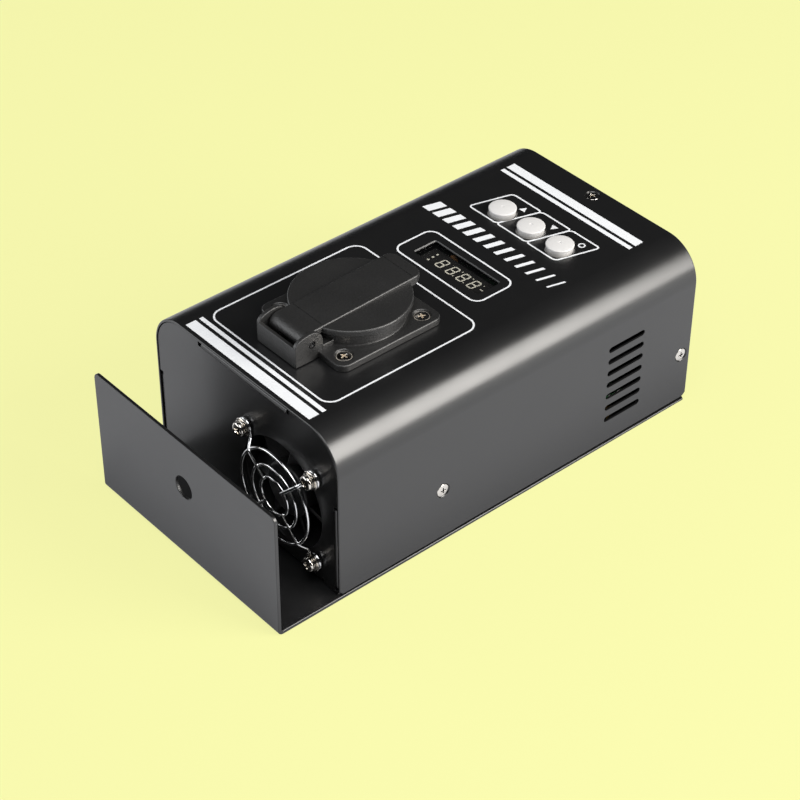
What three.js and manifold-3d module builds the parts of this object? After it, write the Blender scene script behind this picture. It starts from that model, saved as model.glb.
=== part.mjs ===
// A one-channel lighting dimmer in a folded steel case. On top are a mains outlet with a sprung lid,
// a display and three buttons, at one end a fan behind a wire guard and a hanging bracket, and at
// the other end the power and signal connectors.
// Millimetres, +Z up. X runs from the bracket end to the connector end, and Y runs across the case.
import * as THREE from "three";
import { mergeVertices, toCreasedNormals } from "three/addons/utils/BufferGeometryUtils.js";
import Module from "manifold-3d";

const wasm = await Module();
wasm.setup();

// Driving dimensions

const gap = 0.3; // left between pieces that meet
const overrun = 1; // how far a cutter runs past the face that it cuts

// Distances along X are from the cover's fan end, and heights are from the underside of the base.
const cover = { length: 185, width: 110, height: 75, sheet: 1, bend: 16.5, corner: 1.8 };
const base = { sheet: 1.5, bend: 2.3, setback: 1 };
const bracket = { reach: 29, height: 57.3, corner: 2.5, hole: 5, holeHeight: 35.7 };
const wall = {
  sheet: 1.2, bend: 1.8, flange: 11, inset: 0.3, sideFrom: 3, sideTop: 43, tab: 51, foot: 88, relief: 1.6,
};
const vents = { count: 7, length: 19, width: 2.2, pitch: 5.8, fromConnectorEnd: 38.2, height: 31.3 };
const coverScrew = {
  head: 2.9, headDepth: 1.3, shank: 1.45, length: 7, fromFanEnd: 51, fromConnectorEnd: 5.1, height: 25.4,
};
const cross = { reachShare: 0.62, armShare: 0.18, depthShare: 0.5 };
const sideTab = { sheet: 1.5, bend: 2.3, width: 16, height: 34, foot: 10 };

// The fan's centre is placed from the near side. Its own X starts at the outer face of the wall.
const fan = {
  size: 50, depth: 15, corner: 4, flange: 3, rim: 1.7, ductWall: 1.4, screwInset: 5, screwHole: 2.2,
  fromSide: 33.5, height: 31.3, motor: 12, motorSheet: 2.5, strut: 3.4, strutCount: 4,
  bearing: 3, bearingBore: 1.3,
};
const rotor = {
  hub: 11.5, hubLength: 10.5, hubEdge: 1.2, bladeCount: 7, bladeSheet: 1.1, chord: 10.5, camber: 0.9,
  rootPitch: 50, tipPitch: 32, tipGap: 0.7, shaft: 1,
};
const guard = {
  wire: 0.7, ringShares: [0.85, 0.56, 0.34], standOff: 3.6, eye: 3.1, eyeTurn: 150, joggle: 5.6,
  weldShare: 1.4, legSteps: 20,
};
const fanScrew = {
  head: 3.4, headHeight: 2.4, headFrom: 65, washer: 4.4, washerSheet: 0.8, springWasher: 3.7,
  springSheet: 1, shank: 1.85, length: 15,
};

// The outlet's heights are from the outside of the cover, and its X is from the middle of its flange.
const outlet = {
  fromFanEnd: 52, flange: 50, flangeCorner: 4, flangeTop: 3, screwInset: 6, collar: 23.2, collarTop: 8.6,
  recess: 19.5, recessDepth: 17.5, cupWall: 2, floor: 3, rear: 17, rearDepth: 11, rib: 3, ribDepth: 2.4,
  contactPitch: 19, contactHole: 2.7,
};
const hinge = {
  pinOffset: 27.8, pinHeight: 7.5, pin: 1.3, ear: 5.1, earSheet: 1.7, width: 23, front: 7.9, frontTop: 9,
  frontSheet: 1.5, floor: 1.8, ledge: 3, ledgeTop: 5.2, ledgeReach: 11,
};
const lid = {
  under: 8.9, discTop: 11.3, barrel: 3.9, bore: 1.65, strap: 18.8, strapEnd: 13.1, reach: 28.3,
  tabSheet: 2.6, tabCorner: 4, rim: 18.9, rimSheet: 1.6, rimDepth: 1.2, pocket: 9,
};
const lidSpring = {
  wire: 0.35, mean: 2.15, turns: 5, pitch: 1.3, leg: 4.6, legAngle: -15, woundShare: 0.9, pocketRadius: 2.9,
};
const outletScrew = { head: 3.2, headDepth: 1.5, sink: 0.4, shank: 1.7, length: 9 };
const earthClip = { sheet: 0.8, width: 5, top: 5.5, bulge: 1.3, tail: 4, slot: 6 };
const contact = { outer: 3.1, inner: 2.2, length: 9, bore: 3.4 };

// The panel's pieces are placed from the connector end, and across from the middle of the cover.
const windowCut = { fromConnectorEnd: 86.3, length: 11.5, across: -1.3, width: 37, corner: 0.6 };
const pane = { sheet: 1, margin: 2.5 };
const display = { margin: 0.4, top: 3.1, height: 7, ledge: 0.8, bezel: 1 };
const buttons = {
  count: 3, fromConnectorEnd: 41.5, across: -1.95, pitch: 16.55, radius: 5.75, rise: 3, domeShare: 0.45,
  domeFrom: 75, hole: 6.1, skirt: 6.9, skirtSheet: 1, stem: 1.9, travel: 0.5,
};
const tact = { size: 12, height: 6.3, bore: 2.25, boreDepth: 3 };
const controlBoard = {
  sheet: 1.6, pastWindow: 6.7, pastButtons: 14.5, nearMargin: 9.2, farMargin: 11.8, inset: 3.5,
};
const controlPost = { radius: 2.4 };

// The parts on the main board are placed from its connector end, and inward from its long edges.
const mainBoard = { sheet: 1.6, fromConnectorEnd: 25, length: 98, width: 86, inset: 5 };
const standoff = { radius: 3, height: 8 };
const heatSink = {
  fromBoardEnd: 72, length: 55, height: 30, web: 4, fin: 1.6, finCount: 6, reach: 20, inset: 1,
};
const triac = {
  width: 15.5, height: 20, bodyShare: 0.78, thick: 5, tab: 1.5, lift: 4, leg: 1, legPitch: 5.4, legCount: 3,
};
const choke = { radius: 13, tube: 5.5, fromBoardEnd: 76, inset: 20 };
const transformer = {
  fromBoardEnd: 52, inset: 10, core: 30, coreWidth: 14, coreHeight: 25, bobbin: 18, bobbinWidth: 26,
};
const capacitor = {
  fromBoardEnd: 12, fromTerminal: 7.5, radius: 6.5, height: 21, groove: 0.8, grooveHeight: 2.5, edge: 0.8,
};
const terminal = {
  fromBoardEnd: 15, length: 11, width: 28, height: 15, wayCount: 3, entry: 2.4, entryHeight: 5, screw: 2.2,
};

// The connectors are placed across from the middle of the wall, toward the near side where positive.
const inlet = {
  across: -14, height: 21.5, flangeWidth: 31, flangeHeight: 24.5, flangeCorner: 2.5, flangeSheet: 2.5,
  body: 27, bodyHeight: 20, depth: 21, cavity: 23, cavityHeight: 15.6, cavityDepth: 17, cavityCorner: 4.2,
  bladeWidth: 4, bladeSheet: 2, bladeLength: 12, bladePitch: 7, earthRise: 2.4,
};
const fuse = {
  across: 30, height: 21.5, flange: 8, flangeSheet: 2, body: 6.2, depth: 26, bore: 5.1, boreDepth: 22,
  cap: 6.6, capLength: 9, plug: 4.6, plugLength: 14, slot: 1.4, slotDepth: 1.5, edge: 0.8,
};
const xlr = {
  across: 18, height: 52, flangeWidth: 26, flangeHeight: 31, flangeCorner: 3, flangeSheet: 2.2, body: 12.6,
  depth: 21, bore: 9.7, boreDepth: 17, pin: 1.2, pinLength: 11, pinCircle: 4.75, pinFrom: 190, pinTo: 350,
  pinCount: 3, insert: 7.7, insertDepth: 1.2, socketHole: 1.5, socketDepth: 11, screwHole: 1.6,
  screwWidth: 19, screwHeight: 24,
};
const latch = { width: 7, top: 11.2, reach: 3.4, proud: 1.7, proudTop: 0.8, travel: 1.2, throat: 2 };

// How finely round work is divided
const facets = { bend: 8, corner: 2, tiny: 8, small: 10, hole: 14, medium: 24, large: 36 };
const creaseAngle = THREE.MathUtils.degToRad(35);

const looks = {
  blackPaint: { color: 0x1d1d1f, roughness: 0.45, metalness: 0.1 },
  screwSteel: { color: 0xb9b5ad, roughness: 0.25, metalness: 1 },
  blackSteel: { color: 0x1a1a1b, roughness: 0.4, metalness: 0.6 },
  chrome: { color: 0xd8d8da, roughness: 0.12, metalness: 1 },
  zinc: { color: 0xb4b6b8, roughness: 0.35, metalness: 1 },
  outletPlastic: { color: 0x2d2d2e, roughness: 0.6, metalness: 0 },
  fanPlastic: { color: 0x121213, roughness: 0.5, metalness: 0 },
  springSteel: { color: 0x9a9a9c, roughness: 0.3, metalness: 1 },
  brass: { color: 0xc7a24a, roughness: 0.3, metalness: 1 },
  smokedPane: { color: 0x18181a, roughness: 0.08, metalness: 0 },
  displayFace: { color: 0x141414, roughness: 0.5, metalness: 0 },
  boardGreen: { color: 0x1f5a34, roughness: 0.55, metalness: 0 },
  switchBody: { color: 0x252525, roughness: 0.5, metalness: 0 },
  buttonWhite: { color: 0xe4e2e0, roughness: 0.35, metalness: 0 },
  aluminium: { color: 0xa9abad, roughness: 0.4, metalness: 1 },
  packageBlack: { color: 0x161617, roughness: 0.55, metalness: 0 },
  copper: { color: 0xa8562a, roughness: 0.4, metalness: 0.8 },
  coreSteel: { color: 0x6a6c70, roughness: 0.5, metalness: 0.8 },
  sleeveBlue: { color: 0x27406f, roughness: 0.4, metalness: 0 },
  terminalGreen: { color: 0x2f7a48, roughness: 0.5, metalness: 0 },
  connectorPlastic: { color: 0x19191a, roughness: 0.45, metalness: 0 },
  nickel: { color: 0xa6a5a1, roughness: 0.3, metalness: 1 },
};

// Solids and outlines

// A closed solid from any closed geometry. Faces that a mirrored outline turned inward are turned back.
function solid(geometry) {
  const bare = new THREE.BufferGeometry();
  bare.setAttribute("position", geometry.getAttribute("position"));
  bare.setIndex(geometry.index);
  const merged = mergeVertices(bare);
  const points = merged.getAttribute("position");
  const [a, b, c] = [new THREE.Vector3(), new THREE.Vector3(), new THREE.Vector3()];
  const faces = [];
  let volume = 0;
  for (let i = 0; i < merged.index.count; i += 3) {
    const face = [merged.index.getX(i), merged.index.getX(i + 1), merged.index.getX(i + 2)];
    if (new Set(face).size < face.length) continue;
    faces.push(face);
    [a, b, c].forEach((corner, k) => corner.fromBufferAttribute(points, face[k]));
    volume += a.dot(b.cross(c));
  }
  if (volume < 0) faces.forEach((face) => face.reverse());
  return new wasm.Manifold(new wasm.Mesh({
    numProp: 3,
    vertProperties: points.array,
    triVerts: Uint32Array.from(faces.flat()),
  }));
}

const joined = (...solids) => solids.flat().reduce((whole, next) => whole.add(next));
const cutBy = (whole, ...cutters) => cutters.flat().reduce((rest, cutter) => rest.subtract(cutter), whole);
const range = (count) => [...Array(Math.round(count)).keys()];

function block(from, to) {
  const size = to.map((value, i) => value - from[i]);
  const geometry = new THREE.BoxGeometry(...size);
  return solid(geometry.translate(...from.map((value, i) => value + size[i] / 2)));
}

// Turns a geometry that stands along Y so that it stands along the axis named.
function stand(geometry, axis) {
  if (axis === "x") geometry.rotateZ(-Math.PI / 2);
  if (axis === "z") geometry.rotateX(Math.PI / 2);
  return geometry;
}

// Puts a distance along the axis and two distances across it in X, Y, Z order.
function along(axis, distance, [first, second]) {
  if (axis === "x") return [distance, first, second];
  if (axis === "y") return [first, distance, second];
  return [first, second, distance];
}

function rod(axis, from, to, centre, radius, sides = facets.hole, farRadius = radius) {
  const geometry = new THREE.CylinderGeometry(farRadius, radius, to - from, sides);
  return solid(stand(geometry, axis).translate(...along(axis, (from + to) / 2, centre)));
}

// A solid of revolution. The profile holds a radius and a distance along the axis for each point.
function turned(axis, profile, sides, centre = [0, 0]) {
  const outline = profile.map(([radius, height]) => new THREE.Vector2(radius, height));
  const geometry = new THREE.LatheGeometry([...outline, outline[0]], sides);
  return solid(stand(geometry, axis).translate(...along(axis, 0, centre)));
}

// An outline given in the two directions across an axis, carried from one distance to another.
function prism(axis, from, to, outline) {
  const shape = new THREE.Shape(outline.map(([u, v]) => new THREE.Vector2(u, v)));
  const geometry = new THREE.ExtrudeGeometry(shape, { depth: to - from, bevelEnabled: false });
  const [x, y, z] = [new THREE.Vector3(1, 0, 0), new THREE.Vector3(0, 1, 0), new THREE.Vector3(0, 0, 1)];
  const turn = new THREE.Matrix4();
  if (axis === "x") turn.makeBasis(y, z, x).setPosition(from, 0, 0);
  if (axis === "y") turn.makeBasis(x, z, y.clone().negate()).setPosition(0, to, 0);
  if (axis === "z") turn.setPosition(0, 0, from);
  return solid(geometry.applyMatrix4(turn));
}

// A solid skinned over rings that each hold the same even number of points
function loft(rings) {
  const count = rings[0].length;
  const last = (rings.length - 1) * count;
  const faces = [];
  for (const k of range(rings.length - 1)) {
    for (const i of range(count)) {
      const [here, next] = [k * count + i, k * count + ((i + 1) % count)];
      faces.push(here, next, next + count, here, next + count, here + count);
    }
  }
  for (const i of range(count / 2 - 1)) {
    const [a, b, c, d] = [i, i + 1, count - 2 - i, count - 1 - i];
    faces.push(a, d, c, a, c, b, last + a, last + b, last + c, last + a, last + c, last + d);
  }
  const geometry = new THREE.BufferGeometry();
  geometry.setAttribute("position", new THREE.Float32BufferAttribute(rings.flat(2), 3));
  geometry.setIndex(faces);
  return solid(geometry);
}

// Round wire along a curve, with flat ends
function wireAlong(curve, radius, steps, sides = 6) {
  const ring = arc(0, 0, radius, 0, 360, sides).slice(1);
  const section = new THREE.Shape(ring.map(([u, v]) => new THREE.Vector2(u, v)));
  return solid(new THREE.ExtrudeGeometry(section, { steps, extrudePath: curve }));
}

function arc(u, v, radius, from, to, steps, otherRadius = radius) {
  const count = Math.round(steps);
  return range(count + 1).map((i) => {
    const angle = THREE.MathUtils.degToRad(from + ((to - from) * i) / count);
    return [u + radius * Math.cos(angle), v + otherRadius * Math.sin(angle)];
  });
}

function rectangle(u0, v0, u1, v1, radius = 0, steps = facets.corner) {
  if (radius === 0) return [[u0, v0], [u1, v0], [u1, v1], [u0, v1]];
  return [
    ...arc(u0 + radius, v0 + radius, radius, 180, 270, steps),
    ...arc(u1 - radius, v0 + radius, radius, 270, 360, steps),
    ...arc(u1 - radius, v1 - radius, radius, 0, 90, steps),
    ...arc(u0 + radius, v1 - radius, radius, 90, 180, steps),
  ];
}

const centred = (u, v, width, height, radius, steps) =>
  rectangle(u - width / 2, v - height / 2, u + width / 2, v + height / 2, radius, steps);

// Folded sheet seen on its edge. The outer faces meet at the origin, one leg runs along U as far as
// reach, and the other runs down V as far as run.
function folded(sheet, bend, run, reach) {
  return [
    [0, -run],
    ...arc(bend, -bend, bend, 180, 90, facets.corner + 1),
    [reach, 0],
    [reach, -sheet],
    ...arc(bend, -bend, bend - sheet, 90, 180, facets.corner + 1),
    [sheet, -run],
  ];
}

const assembly = new THREE.Group();

function add(parent, name, shape, look, at = [0, 0, 0], turn = [0, 0, 0]) {
  const { vertProperties, triVerts } = shape.getMesh();
  const geometry = new THREE.BufferGeometry();
  geometry.setAttribute("position", new THREE.BufferAttribute(vertProperties, 3));
  geometry.setIndex(new THREE.BufferAttribute(triVerts, 1));
  const material = new THREE.MeshStandardMaterial(looks[look]);
  const mesh = new THREE.Mesh(toCreasedNormals(geometry, creaseAngle), material);
  mesh.name = name;
  mesh.position.set(...at);
  mesh.rotation.set(...turn);
  parent.add(mesh);
}

function groupAt(parent, x, y, z, turnAboutZ = 0) {
  const group = new THREE.Group();
  group.position.set(x, y, z);
  group.rotation.z = turnAboutZ;
  parent.add(group);
  return group;
}

// Places that several pieces share

const halfWidth = cover.width / 2;
const baseTop = base.sheet + gap;
const underPanel = cover.height - cover.sheet;
const screwPlaces = [-1, 1].flatMap((x) => [-1, 1].map((y) => [x, y]));
const outletScrewAway = outlet.flange / 2 - outlet.screwInset;
const fanAcross = fan.fromSide - halfWidth;
const fanDuct = fan.size / 2 - fan.rim;
const fanScrewAway = fan.size / 2 - fan.screwInset;
const buttonsX = cover.length - buttons.fromConnectorEnd;
const buttonAcross = (i) => buttons.across + (i - (buttons.count - 1) / 2) * buttons.pitch;
const windowX = cover.length - windowCut.fromConnectorEnd;
const windowAcross = windowCut.across - windowCut.width / 2;

// The window's outline, grown by a margin on every side
const aroundWindow = (margin) => [
  windowX - margin, windowAcross - margin,
  windowX + windowCut.length + margin, windowAcross + windowCut.width + margin,
];

// The case: cover, base with its bracket, end walls and the screws that close it

// A funnel for a sunk head. Outward is 1 where the head looks along the axis, and -1 where it looks back.
function countersink(axis, face, outward, centre, screw) {
  const [mouth, throat] = [screw.head + gap, screw.shank + gap];
  const depth = screw.headDepth + gap;
  const profile = [[0, overrun], [mouth, overrun], [mouth, 0], [throat, -depth], [0, -depth]];
  const placed = profile.map(([radius, height]) => [radius, face + outward * height]);
  return turned(axis, placed, facets.small, centre);
}

function coverOutline() {
  const { width, height, sheet, bend } = cover;
  const [side, shoulder] = [width / 2, height - bend];
  return [
    [-side, baseTop],
    ...arc(bend - side, shoulder, bend, 180, 90, facets.bend),
    ...arc(side - bend, shoulder, bend, 90, 0, facets.bend),
    [side, baseTop],
    [side - sheet, baseTop],
    ...arc(side - bend, shoulder, bend - sheet, 0, 90, facets.bend),
    ...arc(bend - side, shoulder, bend - sheet, 90, 180, facets.bend),
    [sheet - side, baseTop],
  ];
}

function ventCutters() {
  const lowest = vents.height - ((vents.count - 1) * vents.pitch) / 2;
  return range(vents.count).map((i) => prism("y", -halfWidth - overrun, halfWidth + overrun,
    centred(cover.length - vents.fromConnectorEnd, lowest + i * vents.pitch, vents.length, vents.width,
      vents.width / 2)));
}

function panelCutters() {
  const [from, to] = [underPanel - overrun, cover.height + overrun];
  const hole = (x, y, radius, sides) => rod("z", from, to, [x, y], radius, sides);
  return [
    hole(outlet.fromFanEnd, 0, outlet.recess + outlet.cupWall + gap, facets.large),
    ...screwPlaces.map(([x, y]) => hole(outlet.fromFanEnd + x * outletScrewAway, y * outletScrewAway,
      outletScrew.shank + gap, facets.small)),
    prism("z", from, to, rectangle(...aroundWindow(0), windowCut.corner, 1)),
    ...range(buttons.count).map((i) => hole(buttonsX, buttonAcross(i), buttons.hole, facets.medium)),
  ];
}

function bottomCornerCutters() {
  const [low, size] = [baseTop, cover.corner];
  const across = [-halfWidth - overrun, halfWidth + overrun];
  return [[0, 1], [cover.length, -1]].map(([end, inward]) => prism("y", ...across, [
    [end - inward * overrun, low - overrun],
    [end + inward * (size + overrun), low - overrun],
    [end - inward * overrun, low + size + overrun],
  ]));
}

function topCover() {
  const sideHoles = coverScrewPlaces.flatMap(([x, side]) =>
    countersink("y", side * halfWidth, side, [x, coverScrew.height], coverScrew));
  const topPlace = [cover.length - coverScrew.fromConnectorEnd, 0];
  const topHole = countersink("z", cover.height, 1, topPlace, coverScrew);
  const shell = prism("x", 0, cover.length, coverOutline());
  return cutBy(shell, ventCutters(), panelCutters(), bottomCornerCutters(), sideHoles, topHole);
}

function baseChassis() {
  const { reach, height, corner, hole, holeHeight } = bracket;
  const plate = folded(base.sheet, base.bend, base.bend + corner, reach + cover.length - base.setback)
    .map(([u, v]) => [u - reach, -v]);
  const upright = [
    [-halfWidth, base.bend],
    [halfWidth, base.bend],
    ...arc(halfWidth - corner, height - corner, corner, 0, 90, facets.corner),
    ...arc(corner - halfWidth, height - corner, corner, 90, 180, facets.corner),
  ];
  const [outer, inner] = [-reach, base.sheet - reach];
  const folds = joined(prism("y", -halfWidth, halfWidth, plate), prism("x", outer, inner, upright));
  return folds.subtract(rod("x", outer - overrun, inner + overrun, [0, holeHeight], hole, facets.medium));
}

// An end wall in its own place: X is 0 at its outer face and runs into the case.
function endWall() {
  const { sheet, bend, flange, sideFrom, sideTop, tab, foot, relief } = wall;
  const side = halfWidth - cover.sheet - gap;
  const top = underPanel - gap;
  const shoulder = cover.bend - cover.sheet - gap;
  const plate = prism("x", 0, sheet, [
    [-side, baseTop],
    [side, baseTop],
    ...arc(side - shoulder, top - shoulder, shoulder, 0, 90, facets.bend),
    ...arc(shoulder - side, top - shoulder, shoulder, 90, 180, facets.bend),
  ]);
  const edge = folded(sheet, bend, bend + relief, flange);
  const [low, high] = [baseTop + sideFrom, sideTop];
  const room = (y0, y1, z0, z1) => block([-overrun, y0, z0], [sheet + overrun, y1, z1]);
  const cleared = cutBy(plate, [
    room(-tab / 2 - relief, tab / 2 + relief, top - bend, top + overrun),
    room(-foot / 2 - relief, foot / 2 + relief, baseTop - overrun, baseTop + bend),
    room(side - bend, side + overrun, low - relief, high + relief),
    room(-side - overrun, bend - side, low - relief, high + relief),
  ]);
  return joined(cleared, [
    prism("y", -tab / 2, tab / 2, edge.map(([u, v]) => [u, top + v])),
    prism("y", -foot / 2, foot / 2, edge.map(([u, v]) => [u, baseTop - v])),
    prism("z", low, high, edge.map(([u, v]) => [u, side + v])),
    prism("z", low, high, edge.map(([u, v]) => [u, -side - v])),
  ]);
}

function fanEndWall() {
  const through = [-overrun, wall.sheet + overrun];
  const holes = screwPlaces.map(([y, z]) => rod("x", ...through,
    [fanAcross + y * fanScrewAway, fan.height + z * fanScrewAway], fan.screwHole, facets.small));
  return cutBy(endWall(), rod("x", ...through, [fanAcross, fan.height], fanDuct, facets.large), holes);
}

// The connector end wall lies in a group that faces the other way, so the near side has positive Y.
function connectorEndWall() {
  const through = [-overrun, wall.sheet + overrun];
  const screwX = coverScrew.fromConnectorEnd - wall.inset;
  const tapped = coverScrew.shank + gap;
  const inletCut = centred(inlet.across, inlet.height, inlet.body + 2 * gap, inlet.bodyHeight + 2 * gap);
  return cutBy(endWall(), [
    prism("x", ...through, inletCut),
    rod("x", ...through, [fuse.across, fuse.height], fuse.body + gap, facets.medium),
    ...[-1, 1].map((side) =>
      rod("x", ...through, [side * xlr.across, xlr.height], xlr.body + gap, facets.medium)),
    rod("y", -halfWidth, halfWidth, [screwX, coverScrew.height], tapped, facets.small),
    rod("z", underPanel - wall.flange, cover.height, [screwX, 0], tapped, facets.small),
  ]);
}

// Screw heads look along +Z, with the underside of the head, or the face of a sunk head, at 0.
function crossCutters(radius, top, depth) {
  const [reach, arm] = [radius * cross.reachShare, radius * cross.armShare];
  return [[reach, arm], [arm, reach]].map(([x, y]) => block([-x, -y, top - depth], [x, y, top + overrun]));
}

function sunkScrew({ head, headDepth, shank, length }) {
  const profile = [[0, 0], [head, 0], [shank, -headDepth], [shank, -length], [0, -length]];
  return cutBy(turned("z", profile, facets.small), crossCutters(head, 0, headDepth * cross.depthShare));
}

function panScrew(screw) {
  const { head, headHeight, headFrom, washer, washerSheet, springWasher, springSheet, shank,
    length } = screw;
  const spring = washerSheet + springSheet;
  const top = spring + headHeight;
  const body = turned("z", [
    [0, top],
    ...arc(0, spring, head, headFrom, 0, facets.corner, headHeight),
    [springWasher, spring],
    [springWasher, washerSheet],
    [washer, washerSheet],
    [washer, 0],
    [shank, 0],
    [shank, -length],
    [0, -length],
  ], facets.small);
  return cutBy(body, crossCutters(head, top, headHeight * cross.depthShare));
}

const coverScrewPlaces = [coverScrew.fromFanEnd, cover.length - coverScrew.fromConnectorEnd]
  .flatMap((x) => [-1, 1].map((side) => [x, side]));

// A tab folded from sheet that stands on the base behind each forward side screw
function sideTabShape() {
  const { sheet, bend, width, height, foot } = sideTab;
  const profile = folded(sheet, bend, height, foot).map(([u, v]) => [u, -v]);
  const hole = [0, coverScrew.height - baseTop];
  return prism("x", -width / 2, width / 2, profile)
    .subtract(rod("y", -overrun, sheet + overrun, hole, coverScrew.shank + gap, facets.small));
}

function addCase() {
  add(assembly, "top_cover", topCover(), "blackPaint");
  add(assembly, "base_chassis", baseChassis(), "blackPaint");
  coverScrewPlaces.forEach(([x, side], i) => {
    add(assembly, `side_screw_${i + 1}`, sunkScrew(coverScrew), "screwSteel",
      [x, side * halfWidth, coverScrew.height], [(-side * Math.PI) / 2, 0, 0]);
  });
  add(assembly, "top_screw", sunkScrew(coverScrew), "screwSteel",
    [cover.length - coverScrew.fromConnectorEnd, 0, cover.height]);
  [-1, 1].forEach((side, i) => {
    const holder = groupAt(assembly, coverScrew.fromFanEnd, side * (halfWidth - cover.sheet - gap), baseTop,
      side > 0 ? Math.PI : 0);
    add(holder, `side_tab_${i + 1}`, sideTabShape(), "zinc");
  });
}

// The fan end: wall, fan, guard and the four screws that hold both

function fanFrame() {
  const { size, depth, corner, flange, ductWall, screwHole } = fan;
  const square = centred(0, 0, size, size, corner);
  const through = (centre, radius, sides) => rod("x", -overrun, depth + overrun, centre, radius, sides);
  const tube = rod("x", 0, depth, [0, 0], fanDuct + ductWall, facets.medium);
  const plates = [prism("x", 0, flange, square), prism("x", depth - flange, depth, square)];
  const holes = screwPlaces.map(([y, z]) =>
    through([y * fanScrewAway, z * fanScrewAway], screwHole, facets.small));
  const shell = cutBy(joined(tube, plates), through([0, 0], fanDuct, facets.medium), holes);
  const inner = depth - fan.motorSheet;
  const struts = range(fan.strutCount).map((i) => {
    const angle = ((i + 0.5) / fan.strutCount) * 2 * Math.PI;
    const length = fanDuct + ductWall / 2;
    const bar = new THREE.BoxGeometry(fan.motorSheet, length, fan.strut);
    bar.translate(inner + fan.motorSheet / 2, length / 2, 0);
    return solid(bar.rotateX(angle));
  });
  const motor = rod("x", inner, depth, [0, 0], fan.motor, facets.medium);
  const bearing = rod("x", inner - rotorRoom(), depth, [0, 0], fan.bearing, facets.hole);
  return joined(shell, struts, motor, bearing)
    .subtract(rod("x", -overrun, inner + fan.motorSheet / 2, [0, 0], fan.bearingBore, facets.small));
}

// How far the bearing tube reaches into the rotor's cup
const rotorRoom = () => fan.depth - fan.motorSheet - rotor.hubLength / 2;

function bladeRing(radius, pitch) {
  const { chord, bladeSheet, camber } = rotor;
  const slope = THREE.MathUtils.degToRad(pitch);
  const chordShares = [-0.5, 0, 0.5];
  const point = (share, lift) => {
    const bow = lift + camber * (1 - (2 * share) ** 2);
    const axial = share * chord * Math.sin(slope) + bow * Math.cos(slope);
    const around = (share * chord * Math.cos(slope) - bow * Math.sin(slope)) / radius;
    return [axial, radius * Math.cos(around), radius * Math.sin(around)];
  };
  return [
    ...chordShares.map((share) => point(share, bladeSheet / 2)),
    ...chordShares.toReversed().map((share) => point(share, -bladeSheet / 2)),
  ];
}

function fanRotor() {
  const { hub, hubLength, hubEdge, bladeCount, rootPitch, tipPitch, tipGap, shaft } = rotor;
  const tip = fanDuct - tipGap;
  const spanShares = [0, 0.5, 1];
  const middle = gap + hubLength / 2;
  const blade = loft(spanShares.map((share) => {
    const root = hub - hubEdge;
    return bladeRing(root + (tip - root) * share, rootPitch + (tipPitch - rootPitch) * share)
      .map(([x, y, z]) => [x + middle, y, z]);
  }));
  const blades = range(bladeCount).map((i) => blade.rotate([(360 * i) / bladeCount, 0, 0]));
  const [front, back] = [gap, gap + hubLength];
  const cup = turned("x", [
    [0, front], [hub - hubEdge, front], [hub, front + hubEdge], [hub, back], [hub - hubEdge, back],
    [hub - hubEdge, front + 2 * hubEdge], [0, front + 2 * hubEdge],
  ], facets.medium);
  const spindle = rod("x", front + hubEdge, fan.depth - fan.motorSheet, [0, 0], shaft, facets.tiny);
  return joined(cup, blades, spindle);
}

function fanGuard() {
  const { wire, ringShares, standOff, eye, eyeTurn, joggle, weldShare } = guard;
  const rings = ringShares.map((share) => {
    const sides = Math.round((facets.medium * (1 + share)) / 2);
    const geometry = new THREE.TorusGeometry(fanDuct * share, wire, 6, sides);
    return solid(geometry.rotateY(Math.PI / 2).translate(-standOff, 0, 0));
  });
  const corner = fanScrewAway * Math.SQRT2;
  const seat = -wire - gap;
  const front = -standOff - wire * weldShare;
  const innermost = fanDuct * ringShares.at(-1);
  const inboard = corner - joggle - standOff;
  const path = [
    ...arc(corner, 0, eye, -eyeTurn, eyeTurn, facets.small).map(([y, z]) => [seat, y, z]),
    [seat, corner - eye - wire * 2, 0],
    [seat, corner - joggle, 0],
    [front, inboard, 0],
    [front, (inboard + innermost) / 2, 0],
    [front, innermost - wire, 0],
  ];
  const curve = new THREE.CatmullRomCurve3(path.map((point) => new THREE.Vector3(...point)));
  const leg = wireAlong(curve, wire, guard.legSteps);
  return joined(rings, screwPlaces.map((_, i) => leg.rotate([45 + 90 * i, 0, 0])));
}

function addFanEnd() {
  const end = groupAt(assembly, wall.inset, 0, 0);
  add(end, "fan_end_wall", fanEndWall(), "blackPaint");
  const centre = groupAt(end, 0, fanAcross, fan.height);
  const behind = wall.sheet + gap;
  add(centre, "fan_frame", fanFrame(), "fanPlastic", [behind, 0, 0]);
  add(centre, "fan_rotor", fanRotor(), "fanPlastic", [behind, 0, 0]);
  add(centre, "fan_guard", fanGuard(), "chrome");
  screwPlaces.forEach(([y, z], i) => {
    add(centre, `fan_screw_${i + 1}`, panScrew(fanScrew), "screwSteel",
      [-2 * guard.wire - 2 * gap, y * fanScrewAway, z * fanScrewAway], [0, -Math.PI / 2, 0]);
  });
}

// The outlet: body with its hinge block, sprung lid, contacts and screws

const pinPlace = [-hinge.pinOffset, hinge.pinHeight];

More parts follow.
